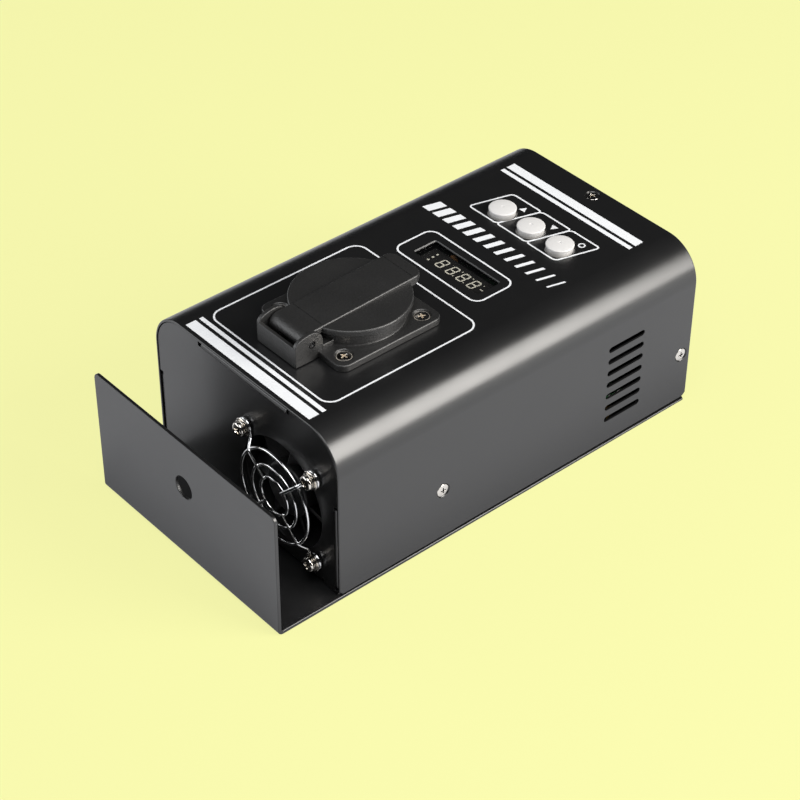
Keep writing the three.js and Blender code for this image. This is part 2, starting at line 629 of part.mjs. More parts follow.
function hingeBlock() {
  const { ear, earSheet, width, front, frontTop, frontSheet, floor, ledge, ledgeTop, ledgeReach,
    pinHeight } = hinge;
  const [pinX] = pinPlace;
  const half = width / 2;
  const left = pinX - front;
  const flangeEdge = -outlet.flange / 2;
  const earOutline = [
    [left, gap],
    ...arc(pinX, frontTop, front, 180, 90, facets.corner + 2, pinHeight + ear - frontTop),
    ...arc(pinX, pinHeight, ear, 90, 0, facets.corner + 2).slice(1),
    [pinX + ear, gap],
  ];
  return joined([
    block([left, -half, gap], [left + frontSheet, half, frontTop]),
    block([left, -half, gap], [flangeEdge + frontSheet, half, gap + floor]),
    prism("y", -half, earSheet - half, earOutline),
    prism("y", half - earSheet, half, earOutline),
    ...[-half, half - ledge].map((y) =>
      block([pinX + ear - gap, y, gap], [pinX + ledgeReach, y + ledge, ledgeTop])),
  ]);
}

function outletBody() {
  const { flange, flangeCorner, flangeTop, collar, collarTop, recess, recessDepth, cupWall, floor, rear,
    rearDepth, rib, ribDepth, contactPitch, contactHole } = outlet;
  const cupFloor = collarTop - recessDepth;
  const under = cupFloor - floor;
  const outside = joined(
    prism("z", gap, flangeTop, centred(0, 0, flange, flange, flangeCorner)),
    rod("z", gap, collarTop, [0, 0], collar, facets.large),
    rod("z", under, flangeTop, [0, 0], recess + cupWall, facets.large),
    rod("z", under - rearDepth, under + gap, [0, 0], rear, facets.medium),
    hingeBlock(),
  );
  const clipX = recess - earthClip.sheet;
  const bottom = under - rearDepth - overrun;
  const hollow = cutBy(outside, [
    rod("z", cupFloor, collarTop + overrun, [0, 0], recess, facets.large),
    ...[-contactPitch / 2, contactPitch / 2].flatMap((y) => [
      rod("z", under - overrun, cupFloor + overrun, [0, y], contactHole, facets.small),
      rod("z", bottom, under, [0, y], contact.bore, facets.small),
    ]),
    ...[-1, 1].flatMap((side) => [
      block([side > 0 ? clipX - 2 * gap : -recess - gap, -earthClip.slot / 2, bottom],
        [side > 0 ? recess + gap : 2 * gap - clipX, earthClip.slot / 2, cupFloor + overrun]),
    ]),
    ...screwPlaces.flatMap(([x, y]) => {
      const at = [x * outletScrewAway, y * outletScrewAway];
      const seat = flangeTop - outletScrew.sink;
      return [countersink("z", seat, 1, at, outletScrew),
        rod("z", gap - overrun, seat, at, outletScrew.shank + gap, facets.small)];
    }),
    rod("y", -hinge.width, hinge.width, pinPlace, hinge.pin + gap, facets.small),
  ]);
  const ribs = [-1, 1].map((side) => block(
    [-rib / 2, Math.min(side * recess, side * (recess - ribDepth)) - (side < 0 ? cupWall / 2 : 0), cupFloor],
    [rib / 2, Math.max(side * recess, side * (recess - ribDepth)) + (side > 0 ? cupWall / 2 : 0),
      collarTop - lid.rimDepth - 2 * gap]));
  return joined(hollow, ribs);
}

function outletLid() {
  const { under, discTop, barrel, bore, strap, strapEnd, reach, tabSheet, tabCorner, rim, rimSheet,
    rimDepth, pocket } = lid;
  const [pinX, pinZ] = pinPlace;
  const half = strap / 2;
  const disc = rod("z", under, discTop, [0, 0], outlet.collar, facets.large);
  const seal = rod("z", under - rimDepth, discTop - gap, [0, 0], rim, facets.medium)
    .subtract(rod("z", under - rimDepth - overrun, under, [0, 0], rim - rimSheet, facets.medium));
  const side = [
    ...arc(pinX, pinZ, barrel, 180, 90, facets.corner + 2),
    [reach, strapEnd],
    [reach, strapEnd - tabSheet],
    [outlet.collar, under],
    [pinX + barrel, under],
    ...arc(pinX, pinZ, barrel, 0, -180, facets.hole / 2).slice(0, -1),
  ];
  const behind = pinX - barrel - overrun;
  const plan = [
    [behind, -half],
    ...arc(reach - tabCorner, tabCorner - half, tabCorner, 270, 360, facets.corner),
    ...arc(reach - tabCorner, half - tabCorner, tabCorner, 0, 90, facets.corner),
    [behind, half],
  ];
  const arm = prism("y", -half, half, side)
    .intersect(prism("z", pinZ - barrel - overrun, strapEnd + overrun, plan));
  return cutBy(joined(disc, seal, arm), [
    rod("y", -half - overrun, half + overrun, pinPlace, bore, facets.small),
    rod("y", -pocket / 2, pocket / 2, pinPlace, lidSpring.pocketRadius, facets.hole),
    block([behind, -pocket / 2, pinZ - barrel - overrun], [pinX + barrel + gap, pocket / 2, pinZ]),
  ]);
}

// One unbroken wire: a helix round the pin, with a straight leg that presses on the block
class SpringPath extends THREE.Curve {
  getPoint(t) {
    const { mean, turns, pitch, leg, legAngle, woundShare } = lidSpring;
    const [wound, straight] = [Math.min(t / woundShare, 1), Math.max(t - woundShare, 0) / (1 - woundShare)];
    const legWay = THREE.MathUtils.degToRad(legAngle);
    const angle = legWay - Math.PI / 2 - (1 - wound) * turns * 2 * Math.PI;
    return new THREE.Vector3(
      pinPlace[0] + mean * Math.cos(angle) + straight * leg * Math.cos(legWay),
      (wound - 0.5) * turns * pitch,
      pinPlace[1] + mean * Math.sin(angle) + straight * leg * Math.sin(legWay),
    );
  }
}

function earthClipShape() {
  const { sheet, width, top, bulge, tail } = earthClip;
  const { recess, collarTop, recessDepth, floor } = outlet;
  const outer = recess - gap;
  const cupFloor = collarTop - recessDepth;
  const [low, high] = [cupFloor - floor - tail, collarTop - top];
  const seat = cupFloor + gap;
  const bowed = (offset) => range(facets.corner * 2 + 1).map((i) => {
    const share = i / (facets.corner * 2);
    return [outer - offset - bulge * Math.sin(Math.PI * share), seat + (high - seat) * share];
  });
  return prism("y", -width / 2, width / 2, [
    [outer - sheet, low], ...bowed(sheet), ...bowed(0).toReversed(), [outer, low],
  ]);
}

function addOutlet() {
  const place = groupAt(assembly, outlet.fromFanEnd, 0, cover.height);
  add(place, "outlet_body", outletBody(), "outletPlastic");
  add(place, "outlet_lid", outletLid(), "outletPlastic");
  const reach = hinge.width / 2 - gap / 2;
  add(place, "lid_pin", rod("y", -reach, reach, pinPlace, hinge.pin, facets.small), "nickel");
  const spring = wireAlong(new SpringPath(), lidSpring.wire, lidSpring.turns * facets.small, 5);
  add(place, "lid_spring", spring, "springSteel");
  screwPlaces.forEach(([x, y], i) => {
    add(place, `outlet_screw_${i + 1}`, sunkScrew(outletScrew), "screwSteel",
      [x * outletScrewAway, y * outletScrewAway, outlet.flangeTop - outletScrew.sink]);
  });
  [-1, 1].forEach((side, i) => {
    add(place, `earth_clip_${i + 1}`, earthClipShape(), "nickel", [0, 0, 0], [0, 0, side > 0 ? 0 : Math.PI]);
    const top = outlet.collarTop - outlet.recessDepth - outlet.floor - gap;
    const low = top - contact.length;
    const inside = low + contact.outer - contact.inner;
    const at = [0, (side * outlet.contactPitch) / 2];
    const sleeve = rod("z", low, top, at, contact.outer, facets.small)
      .subtract(rod("z", inside, top + overrun, at, contact.inner, facets.small));
    add(place, `contact_sleeve_${i + 1}`, sleeve, "brass");
  });
}

// The panel: window, display, board, switches and button caps

const boardTop = cover.height - display.top - display.height - gap;

function buttonCap() {
  const { radius, rise, domeShare, domeFrom, skirt, skirtSheet, stem } = buttons;
  const below = cover.sheet + gap;
  const dome = rise * domeShare;
  const switchTop = boardTop + gap + tact.height - cover.height;
  return turned("z", [
    [0, rise],
    ...arc(0, rise - dome, radius, domeFrom, 0, facets.corner + 1, dome),
    [radius, -below],
    [skirt, -below],
    [skirt, -below - skirtSheet],
    [stem, -below - skirtSheet],
    [stem, switchTop - tact.boreDepth + gap + buttons.travel],
    [0, switchTop - tact.boreDepth + gap + buttons.travel],
  ], facets.medium - facets.corner * 2);
}

function tactSwitch() {
  const half = tact.size / 2;
  return block([-half, -half, 0], [half, half, tact.height])
    .subtract(rod("z", tact.height - tact.boreDepth, tact.height + overrun, [0, 0], tact.bore, facets.hole));
}

function addPanel() {
  const paneTop = underPanel - gap;
  const [paneX0, paneY0, paneX1, paneY1] = aroundWindow(pane.margin);
  add(assembly, "display_window", block([paneX0, paneY0, paneTop - pane.sheet], [paneX1, paneY1, paneTop]),
    "smokedPane");
  const foot = boardTop + gap;
  const top = cover.height - display.top;
  const digits = joined(
    prism("z", foot, top - display.ledge, rectangle(...aroundWindow(display.margin))),
    prism("z", foot, top, rectangle(...aroundWindow(display.margin - display.bezel))),
  );
  add(assembly, "led_display", digits, "displayFace");
  const { pastWindow, pastButtons, nearMargin, farMargin, inset, sheet } = controlBoard;
  const [x0, x1] = [windowX - pastWindow, buttonsX + pastButtons];
  const [y0, y1] = [windowAcross - nearMargin, windowAcross + windowCut.width + farMargin];
  add(assembly, "control_board", block([x0, y0, boardTop - sheet], [x1, y1, boardTop]), "boardGreen");
  [x0 + inset, x1 - inset].flatMap((x) => [y0 + inset, y1 - inset].map((y) => [x, y])).forEach((at, i) => {
    const post = rod("z", foot, underPanel - gap, at, controlPost.radius, facets.small);
    add(assembly, `control_post_${i + 1}`, post, "zinc");
  });
  range(buttons.count).forEach((i) => {
    const at = [buttonsX, buttonAcross(i)];
    add(assembly, `tact_switch_${i + 1}`, tactSwitch(), "switchBody", [...at, foot]);
    add(assembly, `button_cap_${i + 1}`, buttonCap(), "buttonWhite", [...at, cover.height]);
  });
}

// Inside the case: main board on standoffs, and the power parts that it carries

const mainTop = baseTop + standoff.height + gap + mainBoard.sheet;
const partFoot = mainTop + gap;

function heatSinkShape() {
  const { length, height, web, fin, finCount, reach } = heatSink;
  const fins = range(finCount).map((i) => {
    const z = ((height - fin) * i) / (finCount - 1);
    return block([0, -reach, z], [length, -web + overrun, z + fin]);
  });
  return joined(block([0, -web, 0], [length, 0, height]), fins);
}

function triacShape() {
  const { width, height, bodyShare, thick, tab, lift, leg, legPitch, legCount } = triac;
  const legs = range(legCount).map((i) => {
    const x = (i - (legCount - 1) / 2) * legPitch;
    return block([x - leg / 2, thick / 2, 0], [x + leg / 2, thick / 2 + leg, lift + overrun]);
  });
  return joined(
    block([-width / 2, 0, lift], [width / 2, thick, lift + height * bodyShare]),
    block([-width / 2, 0, lift], [width / 2, tab, lift + height]),
    legs,
  );
}

function transformerShape() {
  const { core, coreWidth, coreHeight, bobbin, bobbinWidth } = transformer;
  const limb = (core - bobbin) / 2;
  return joined(
    block([0, -coreWidth / 2, 0], [core, coreWidth / 2, coreHeight]),
    block([limb, -bobbinWidth / 2, limb / 2], [core - limb, bobbinWidth / 2, coreHeight - limb / 2]),
  );
}

function capacitorShape() {
  const { radius, height, groove, grooveHeight, edge } = capacitor;
  return turned("z", [
    [0, 0], [radius, 0], [radius, grooveHeight - groove], [radius - groove, grooveHeight],
    [radius, grooveHeight + groove], [radius, height - edge], [radius - edge, height], [0, height],
  ], facets.hole);
}

function terminalShape() {
  const { length, width, height, wayCount, entry, entryHeight, screw } = terminal;
  const step = width / wayCount;
  return cutBy(block([0, 0, 0], [length, width, height]), range(wayCount).flatMap((i) => {
    const y = (i + 0.5) * step;
    return [
      rod("x", length / 2, length + overrun, [y, entryHeight], entry, facets.tiny),
      rod("z", entryHeight + entry + gap, height + overrun, [length / 2, y], screw, facets.tiny),
    ];
  }));
}

function addInside() {
  const half = mainBoard.width / 2;
  const end = cover.length - mainBoard.fromConnectorEnd;
  const start = end - mainBoard.length;
  const { inset } = mainBoard;
  add(assembly, "main_board", block([start, -half, mainTop - mainBoard.sheet], [end, half, mainTop]),
    "boardGreen");
  const edge = half - inset;
  const corners = [start + inset, end - inset].flatMap((x) => [-edge, edge].map((y) => [x, y]));
  corners.forEach((at, i) => {
    const post = rod("z", baseTop, baseTop + standoff.height, at, standoff.radius, facets.small);
    add(assembly, `board_standoff_${i + 1}`, post, "brass");
  });
  const sinkX = end - heatSink.fromBoardEnd;
  const webFace = heatSink.inset + heatSink.reach - half;
  add(assembly, "heat_sink", heatSinkShape(), "aluminium", [sinkX, webFace, partFoot]);
  add(assembly, "triac", triacShape(), "packageBlack",
    [sinkX + heatSink.length / 2, webFace + gap, partFoot]);
  const ring = new THREE.TorusGeometry(choke.radius, choke.tube, facets.tiny, facets.medium);
  add(assembly, "filter_choke", solid(ring), "copper",
    [end - choke.fromBoardEnd, half - choke.inset, partFoot + choke.tube]);
  add(assembly, "transformer", transformerShape(), "coreSteel",
    [end - transformer.fromBoardEnd, half - transformer.inset - transformer.bobbinWidth / 2, partFoot]);
  const canAcross = terminal.width / 2 + capacitor.fromTerminal + capacitor.radius;
  add(assembly, "capacitor", capacitorShape(), "sleeveBlue",
    [end - capacitor.fromBoardEnd, canAcross, partFoot]);
  add(assembly, "terminal_block", terminalShape(), "terminalGreen",
    [end - terminal.fromBoardEnd, -terminal.width / 2, partFoot]);
}

// The connector end: power inlet, fuse, and the two signal connectors with a latch

function inletShape() {
  const { flangeWidth, flangeHeight, flangeCorner, flangeSheet, body, bodyHeight, depth, cavity,
    cavityHeight, cavityDepth, cavityCorner, bladeWidth, bladeSheet, bladeLength, bladePitch,
    earthRise } = inlet;
  const [front, floor] = [-gap - flangeSheet, cavityDepth - gap - flangeSheet];
  const [side, rise] = [cavity / 2, cavityHeight / 2];
  const mouth = [
    [-side, -rise], [side, -rise], [side, rise - cavityCorner], [side - cavityCorner, rise],
    [cavityCorner - side, rise], [-side, rise - cavityCorner],
  ];
  const shell = joined(
    prism("x", front, -gap, centred(0, 0, flangeWidth, flangeHeight, flangeCorner)),
    prism("x", -gap - overrun, depth, centred(0, 0, body, bodyHeight)),
  ).subtract(prism("x", front - overrun, floor, mouth));
  const [thick, wide] = [bladeSheet / 2, bladeWidth / 2];
  const blades = [[-bladePitch, 0], [0, earthRise], [bladePitch, 0]].map(([y, z]) =>
    block([floor - bladeLength, y - thick, z - wide], [floor + overrun, y + thick, z + wide]));
  return joined(shell, blades);
}

function fuseHolderShape() {
  const { flange, flangeSheet, body, depth, bore, boreDepth } = fuse;
  const front = -gap - flangeSheet;
  return cutBy(joined(
    rod("x", front, -gap, [0, 0], flange, facets.medium),
    rod("x", -gap - overrun, depth, [0, 0], body, facets.medium),
  ), rod("x", front - overrun, boreDepth, [0, 0], bore, facets.hole));
}

function fuseCapShape() {
  const { cap, capLength, plug, plugLength, slot, slotDepth, edge, flangeSheet } = fuse;
  const seat = -2 * gap - flangeSheet;
  const outer = seat - capLength;
  const across = cap + overrun;
  const body = turned("x", [
    [0, outer], [cap - edge, outer], [cap, outer + edge], [cap, seat], [plug, seat],
    [plug, seat + plugLength], [0, seat + plugLength],
  ], facets.hole);
  return body.subtract(block([outer - overrun, -across, -slot / 2], [outer + slotDepth, across, slot / 2]));
}

function xlrShell() {
  const { flangeWidth, flangeHeight, flangeCorner, flangeSheet, body, depth, bore, boreDepth, screwHole,
    screwWidth, screwHeight } = xlr;
  const front = -gap - flangeSheet;
  return cutBy(joined(
    prism("x", front, -gap, centred(0, 0, flangeWidth, flangeHeight, flangeCorner)),
    rod("x", -gap - overrun, depth, [0, 0], body, facets.medium),
  ), [
    rod("x", front - overrun, boreDepth + front, [0, 0], bore, facets.medium),
    ...[-0.5, 0.5].map((share) =>
      rod("x", front - overrun, 0, [share * screwWidth, -share * screwHeight], screwHole, facets.small)),
  ]);
}

// Three contacts on a circle, with the odd one below the other two
const contactPlaces = arc(0, 0, xlr.pinCircle, xlr.pinFrom, xlr.pinTo, xlr.pinCount - 1);

function xlrWithPins() {
  const floor = xlr.boreDepth - gap - xlr.flangeSheet;
  return joined(xlrShell(), contactPlaces.map((at) =>
    rod("x", floor - xlr.pinLength, floor + overrun, at, xlr.pin, facets.tiny)));
}

function xlrWithSockets() {
  const front = -gap - xlr.flangeSheet;
  const face = front + xlr.insertDepth;
  const insert = rod("x", face, xlr.boreDepth + front + overrun, [0, 0], xlr.insert, facets.medium);
  const sockets = contactPlaces.map((at) =>
    rod("x", face - overrun, face + xlr.socketDepth, at, xlr.socketHole, facets.tiny));
  const slot = block([front - overrun, -latch.width / 2 - gap, xlr.bore - latch.throat],
    [front + latch.reach + gap, latch.width / 2 + gap, latch.top + gap]);
  return cutBy(joined(cutBy(xlrShell(), slot), insert), sockets);
}

function latchShape() {
  const front = -gap - xlr.flangeSheet;
  const low = xlr.insert + gap + latch.travel;
  return prism("y", -latch.width / 2, latch.width / 2, [
    [front - latch.proud, low],
    [front + latch.reach, low],
    [front + latch.reach, latch.top],
    [front - latch.proudTop, latch.top],
  ]);
}

function addConnectorEnd() {
  const end = groupAt(assembly, cover.length - wall.inset, 0, 0, Math.PI);
  add(end, "connector_end_wall", connectorEndWall(), "blackPaint");
  add(end, "power_inlet", inletShape(), "connectorPlastic", [0, inlet.across, inlet.height]);
  add(end, "fuse_holder", fuseHolderShape(), "connectorPlastic", [0, fuse.across, fuse.height]);
  add(end, "fuse_cap", fuseCapShape(), "connectorPlastic", [0, fuse.across, fuse.height]);
  add(end, "signal_in", xlrWithPins(), "nickel", [0, -xlr.across, xlr.height]);
  add(end, "signal_out", xlrWithSockets(), "nickel", [0, xlr.across, xlr.height]);
  add(end, "signal_latch", latchShape(), "blackSteel", [0, xlr.across, xlr.height]);
}

addCase();
addFanEnd();
addOutlet();
addPanel();
addInside();
addConnectorEnd();

// The origin is at the bottom centre of the whole.
assembly.updateMatrixWorld(true);
const bounds = new THREE.Box3().setFromObject(assembly);
const middle = bounds.getCenter(new THREE.Vector3());
assembly.position.set(-middle.x, -middle.y, -bounds.min.z);
assembly.updateMatrixWorld(true);

export default assembly;
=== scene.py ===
import bpy
import bmesh
import math
from mathutils import Vector, Matrix


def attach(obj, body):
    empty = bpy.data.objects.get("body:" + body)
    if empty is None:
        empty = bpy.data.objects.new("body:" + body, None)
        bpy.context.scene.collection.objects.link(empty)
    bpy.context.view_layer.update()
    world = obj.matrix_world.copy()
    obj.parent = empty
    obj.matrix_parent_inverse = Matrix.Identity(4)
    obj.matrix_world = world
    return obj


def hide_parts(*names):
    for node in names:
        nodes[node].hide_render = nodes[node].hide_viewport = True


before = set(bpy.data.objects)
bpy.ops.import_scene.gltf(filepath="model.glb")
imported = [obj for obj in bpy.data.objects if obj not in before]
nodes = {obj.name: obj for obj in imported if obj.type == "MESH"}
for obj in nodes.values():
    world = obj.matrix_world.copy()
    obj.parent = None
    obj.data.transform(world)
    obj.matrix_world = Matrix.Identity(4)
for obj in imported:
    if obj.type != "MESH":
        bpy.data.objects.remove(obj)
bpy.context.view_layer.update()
bpy.ops.object.select_all(action="DESELECT")  # the import leaves the frame's parts selected

# Camera, solved from the case's straight edges
camera = {
    "place": (-0.46870, -0.53137, 0.58907),
    "turn": (51.0003, -0.2316, -40.7573),
    "lens": 102.34,
    "shift": (0.0022, 0.0078),
}
bpy.ops.object.camera_add(location=camera["place"],
                          rotation=[math.radians(angle) for angle in camera["turn"]])
shot = bpy.context.object
shot.data.sensor_width = 36
shot.data.lens = camera["lens"]
shot.data.shift_x, shot.data.shift_y = camera["shift"]
bpy.context.scene.camera = shot
bpy.context.scene.view_settings.view_transform = "Standard"
print("camera set")

# Modelling helpers. Pieces are made in mm, with X from the cover's fan end, Y from the middle of the
# case and Z from the underside of the base, and finishPiece moves them into the frame.
middleX = 83.65
gap = 0.3  # left between pieces that touch in reality
fourCorners = [(-1, -1), (-1, 1), (1, -1), (1, 1)]


def deselect():
    if bpy.context.object and bpy.context.object.mode != "OBJECT":
        bpy.ops.object.mode_set(mode="OBJECT")
    bpy.ops.object.select_all(action="DESELECT")


def activate(piece):
    deselect()
    piece.select_set(True)
    bpy.context.view_layer.objects.active = piece


def applyPlace(piece):
    activate(piece)
    bpy.ops.object.transform_apply(location=True, rotation=True, scale=True)
    return piece


def applyModifier(piece, kind, **settings):
    activate(piece)
    added = piece.modifiers.new(kind.lower(), kind)
    for name, value in settings.items():
        setattr(added, name, value)
    bpy.ops.object.modifier_apply(modifier=added.name)
    return piece


def addBlock(low, high):
    deselect()
    middle = [(a + b) / 2 for a, b in zip(low, high)]
    bpy.ops.mesh.primitive_cube_add(size=1, location=middle)
    piece = bpy.context.object
    piece.scale = [b - a for a, b in zip(low, high)]
    return applyPlace(piece)


axisTurns = {"x": (0, math.pi / 2, 0), "y": (-math.pi / 2, 0, 0), "z": (0, 0, 0)}


# A place, from its distance along an axis and the two distances across it
def onAxis(axis, reach, u, v):
    return {"x": (reach, u, v), "y": (u, reach, v), "z": (u, v, reach)}[axis]


# A round bar along an axis, between two distances on it
def addDrum(axis, start, end, centre, radius, sides=32):
    deselect()
    bpy.ops.mesh.primitive_cone_add(vertices=sides, radius1=radius, radius2=radius, depth=end - start,
                                    location=onAxis(axis, (start + end) / 2, *centre),
                                    rotation=axisTurns[axis])
    return applyPlace(bpy.context.object)


# A round ring, with the segments round it and round its wire
def addRing(radius, wire, segments, **place):
    deselect()
    bpy.ops.mesh.primitive_torus_add(major_radius=radius, minor_radius=wire, major_segments=segments[0],
                                     minor_segments=segments[1], **place)
    return applyPlace(bpy.context.object)


# Opens the piece in edit mode with the faces, edges or corners that pass a test selected.
# The test reads the middle of each one, and the normal of a face or the run of an edge.
def pick(piece, kind, test):
    activate(piece)
    bpy.ops.object.mode_set(mode="EDIT")
    bpy.ops.mesh.select_mode(type=kind)
    bpy.ops.mesh.select_all(action="DESELECT")
    mesh = bmesh.from_edit_mesh(piece.data)
    if kind == "FACE":
        measured = [(face, face.calc_center_median(), face.normal) for face in mesh.faces]
    elif kind == "EDGE":
        ends = [(edge, *[corner.co for corner in edge.verts]) for edge in mesh.edges]
        measured = [(edge, (a + b) / 2, (b - a).normalized()) for edge, a, b in ends]
    else:
        measured = [(corner, corner.co, corner.normal) for corner in mesh.verts]
    chosen = [part for part, place, way in measured if test(place, way)]
    for part in chosen:
        part.select_set(True)
    mesh.select_flush_mode()
    bmesh.update_edit_mesh(piece.data)
    return bool(chosen)


def leaveEdit():
    bpy.ops.object.mode_set(mode="OBJECT")


def shiftCorners(piece, test, offset):
    pick(piece, "VERT", lambda place, _: test(place))
    bpy.ops.transform.translate(value=offset)
    leaveEdit()


def roundEdges(piece, radius, segments, test):
    if pick(piece, "EDGE", test):
        bpy.ops.mesh.bevel(offset=radius, segments=segments, profile=0.5, affect="EDGES",
                           clamp_overlap=False)
    leaveEdit()
    return piece


# The test for the edges along an axis whose middle passes a test of its own
def along(axis, test=lambda place: True):
    index = "xyz".index(axis)
    return lambda place, way: abs(way[index]) > 0.999 and test(place)


# A flat plate whose corners are rounded, lying across an axis
def addPlate(axis, start, end, centre, width, height, corner, segments=8):
    plate = addBlock(onAxis(axis, start, centre[0] - width / 2, centre[1] - height / 2),
                     onAxis(axis, end, centre[0] + width / 2, centre[1] + height / 2))
    return roundEdges(plate, corner, segments, along(axis))


def joinAll(pieces):
    if len(pieces) == 1:
        return pieces[0]
    activate(pieces[0])
    for piece in pieces[1:]:
        piece.select_set(True)
    bpy.ops.object.join()
    return pieces[0]


def drop(piece):
    bpy.data.objects.remove(piece, do_unlink=True)


def combine(piece, others, operation):
    tool = joinAll(others)
    applyModifier(piece, "BOOLEAN", operation=operation, object=tool, solver="EXACT",
                  use_self=len(others) > 1)
    drop(tool)
    return piece


def cut(piece, *tools):
    return combine(piece, list(tools), "DIFFERENCE")


def weld(piece, *others):
    for other in others:
        combine(piece, [other], "UNION")
    return piece


# A turned piece. The outline gives a radius and a distance along the axis for each step, and starts
# and ends on the axis.
def turnPiece(axis, outline, centre=(0, 0), sides=48):
    deselect()
    (_, tip), (radius, height) = outline[:2]
    bpy.ops.mesh.primitive_circle_add(vertices=sides, radius=radius, location=(0, 0, height),
                                      fill_type="TRIFAN")
    piece = applyPlace(bpy.context.object)
    if tip != height:
        shiftCorners(piece, lambda place: place.xy.length < radius / 2, (0, 0, tip - height))
    pick(piece, "EDGE", lambda place, way: place.xy.length > radius * 0.9)
    for nextRadius, nextHeight in outline[2:]:
        bpy.ops.mesh.extrude_edges_move(TRANSFORM_OT_translate={"value": (0, 0, nextHeight - height)})
        if nextRadius:
            scale = nextRadius / radius
            bpy.ops.transform.resize(value=(scale, scale, 1), center_override=(0, 0, nextHeight))
        radius, height = nextRadius, nextHeight
    bpy.ops.mesh.merge(type="CENTER")
    bpy.ops.mesh.select_all(action="SELECT")
    bpy.ops.mesh.remove_doubles(threshold=0.0001)
    bpy.ops.mesh.normals_make_consistent(inside=False)
    leaveEdit()
    piece.rotation_euler = axisTurns[axis]
    piece.location = onAxis(axis, 0, *centre)
    return applyPlace(piece)


def moved(piece, offset=(0, 0, 0), turn=(0, 0, 0)):
    piece.rotation_euler = [math.radians(angle) for angle in turn]
    piece.location = offset
    return applyPlace(piece)


def copied(piece, offset=(0, 0, 0), turn=(0, 0, 0)):
    twin = piece.copy()
    twin.data = piece.data.copy()
    bpy.context.scene.collection.objects.link(twin)
    return moved(twin, offset, turn)


# An outline across an axis, drawn point by point and carried from one distance to another
def addOutline(axis, start, end, points):
    deselect()
    corners = [Vector(onAxis(axis, start, *point)) for point in points]
    bpy.ops.mesh.primitive_plane_add(size=0.01)
    piece = bpy.context.object
    pick(piece, "VERT", lambda place, _: True)
    bpy.ops.mesh.merge(type="CENTER")
    bpy.ops.transform.translate(value=corners[0])
    for before, after in zip(corners, corners[1:]):
        bpy.ops.mesh.extrude_vertices_move(TRANSFORM_OT_translate={"value": after - before})
    bpy.ops.mesh.select_all(action="SELECT")
    bpy.ops.mesh.edge_face_add()
    bpy.ops.mesh.select_mode(type="FACE")
    bpy.ops.mesh.extrude_region_move(TRANSFORM_OT_translate={"value": onAxis(axis, end - start, 0, 0)})
    bpy.ops.mesh.select_all(action="SELECT")
    bpy.ops.mesh.normals_make_consistent(inside=False)
    leaveEdit()
    return piece


def arcPoints(u, v, radius, start, end, steps, otherRadius=None):
    other = radius if otherRadius is None else otherRadius
    turn = [math.radians(start + (end - start) * i / steps) for i in range(steps + 1)]
    return [(u + radius * math.cos(angle), v + other * math.sin(angle)) for angle in turn]


def bevelSharp(piece, width, segments=3, angle=40):
    return applyModifier(piece, "BEVEL", width=width, segments=segments, limit_method="ANGLE",
                         angle_limit=math.radians(angle), use_clamp_overlap=True)


# Joins corners that a cut left on top of each other
def tidyMesh(piece):
    activate(piece)
    bpy.ops.object.mode_set(mode="EDIT")
    bpy.ops.mesh.select_all(action="SELECT")
    bpy.ops.mesh.remove_doubles(threshold=0.002)
    leaveEdit()
    return piece


# Small rounded edges wherever faces meet sharply, and shading that keeps the flats flat
def softenEdges(piece, width, segments=2, angle=32, smooth=35, clamp=True):
    if width:
        applyModifier(piece, "BEVEL", width=width, segments=segments, limit_method="ANGLE",
                      angle_limit=math.radians(angle), use_clamp_overlap=clamp, miter_outer="MITER_ARC")
    activate(piece)
    bpy.ops.object.shade_smooth_by_angle(angle=math.radians(smooth))
    return applyModifier(piece, "WEIGHTED_NORMAL", mode="FACE_AREA", keep_sharp=True, weight=50)


def finishPiece(piece, name, finish, slotName, *stoodFor, body="housing"):
    piece.data.materials.clear()
    piece.data.materials.append(finish)
    piece.name = name
    piece.data.name = name
    piece.scale = (0.001,) * 3
    piece.location = (-middleX / 1000, 0, 0)
    applyPlace(piece)
    deselect()
    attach(piece, body)
    if stoodFor:
        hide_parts(*stoodFor)


print("modelling helpers ready")


# Finishes. A wire wraps a socket, so that shader maths reads as plain expressions.
class Wire:
    def __init__(self, finish, socket):
        self.finish = finish
        self.socket = socket

    def math(self, operation, *values):
        return self.finish.node("ShaderNodeMath", {"operation": operation}, dict(enumerate(values)))

    def __add__(self, other):
        return self.math("ADD", self, other)

    def __radd__(self, other):
        return self.math("ADD", other, self)

    def __sub__(self, other):
        return self.math("SUBTRACT", self, other)

    def __rsub__(self, other):
        return self.math("SUBTRACT", other, self)

    def __mul__(self, other):
        return self.math("MULTIPLY", self, other)

    def __rmul__(self, other):
        return self.math("MULTIPLY", other, self)

    def __truediv__(self, other):
        return self.math("DIVIDE", self, other)

    def above(self, other):
        return self.math("GREATER_THAN", self, other)

    def below(self, other):
        return self.math("LESS_THAN", self, other)

    def larger(self, other):
        return self.math("MAXIMUM", self, other)

    def size(self):
        return self.math("ABSOLUTE", self)

    def wave(self):
        return self.math("SINE", self)

    def saw(self):
        return self.math("FRACT", self)


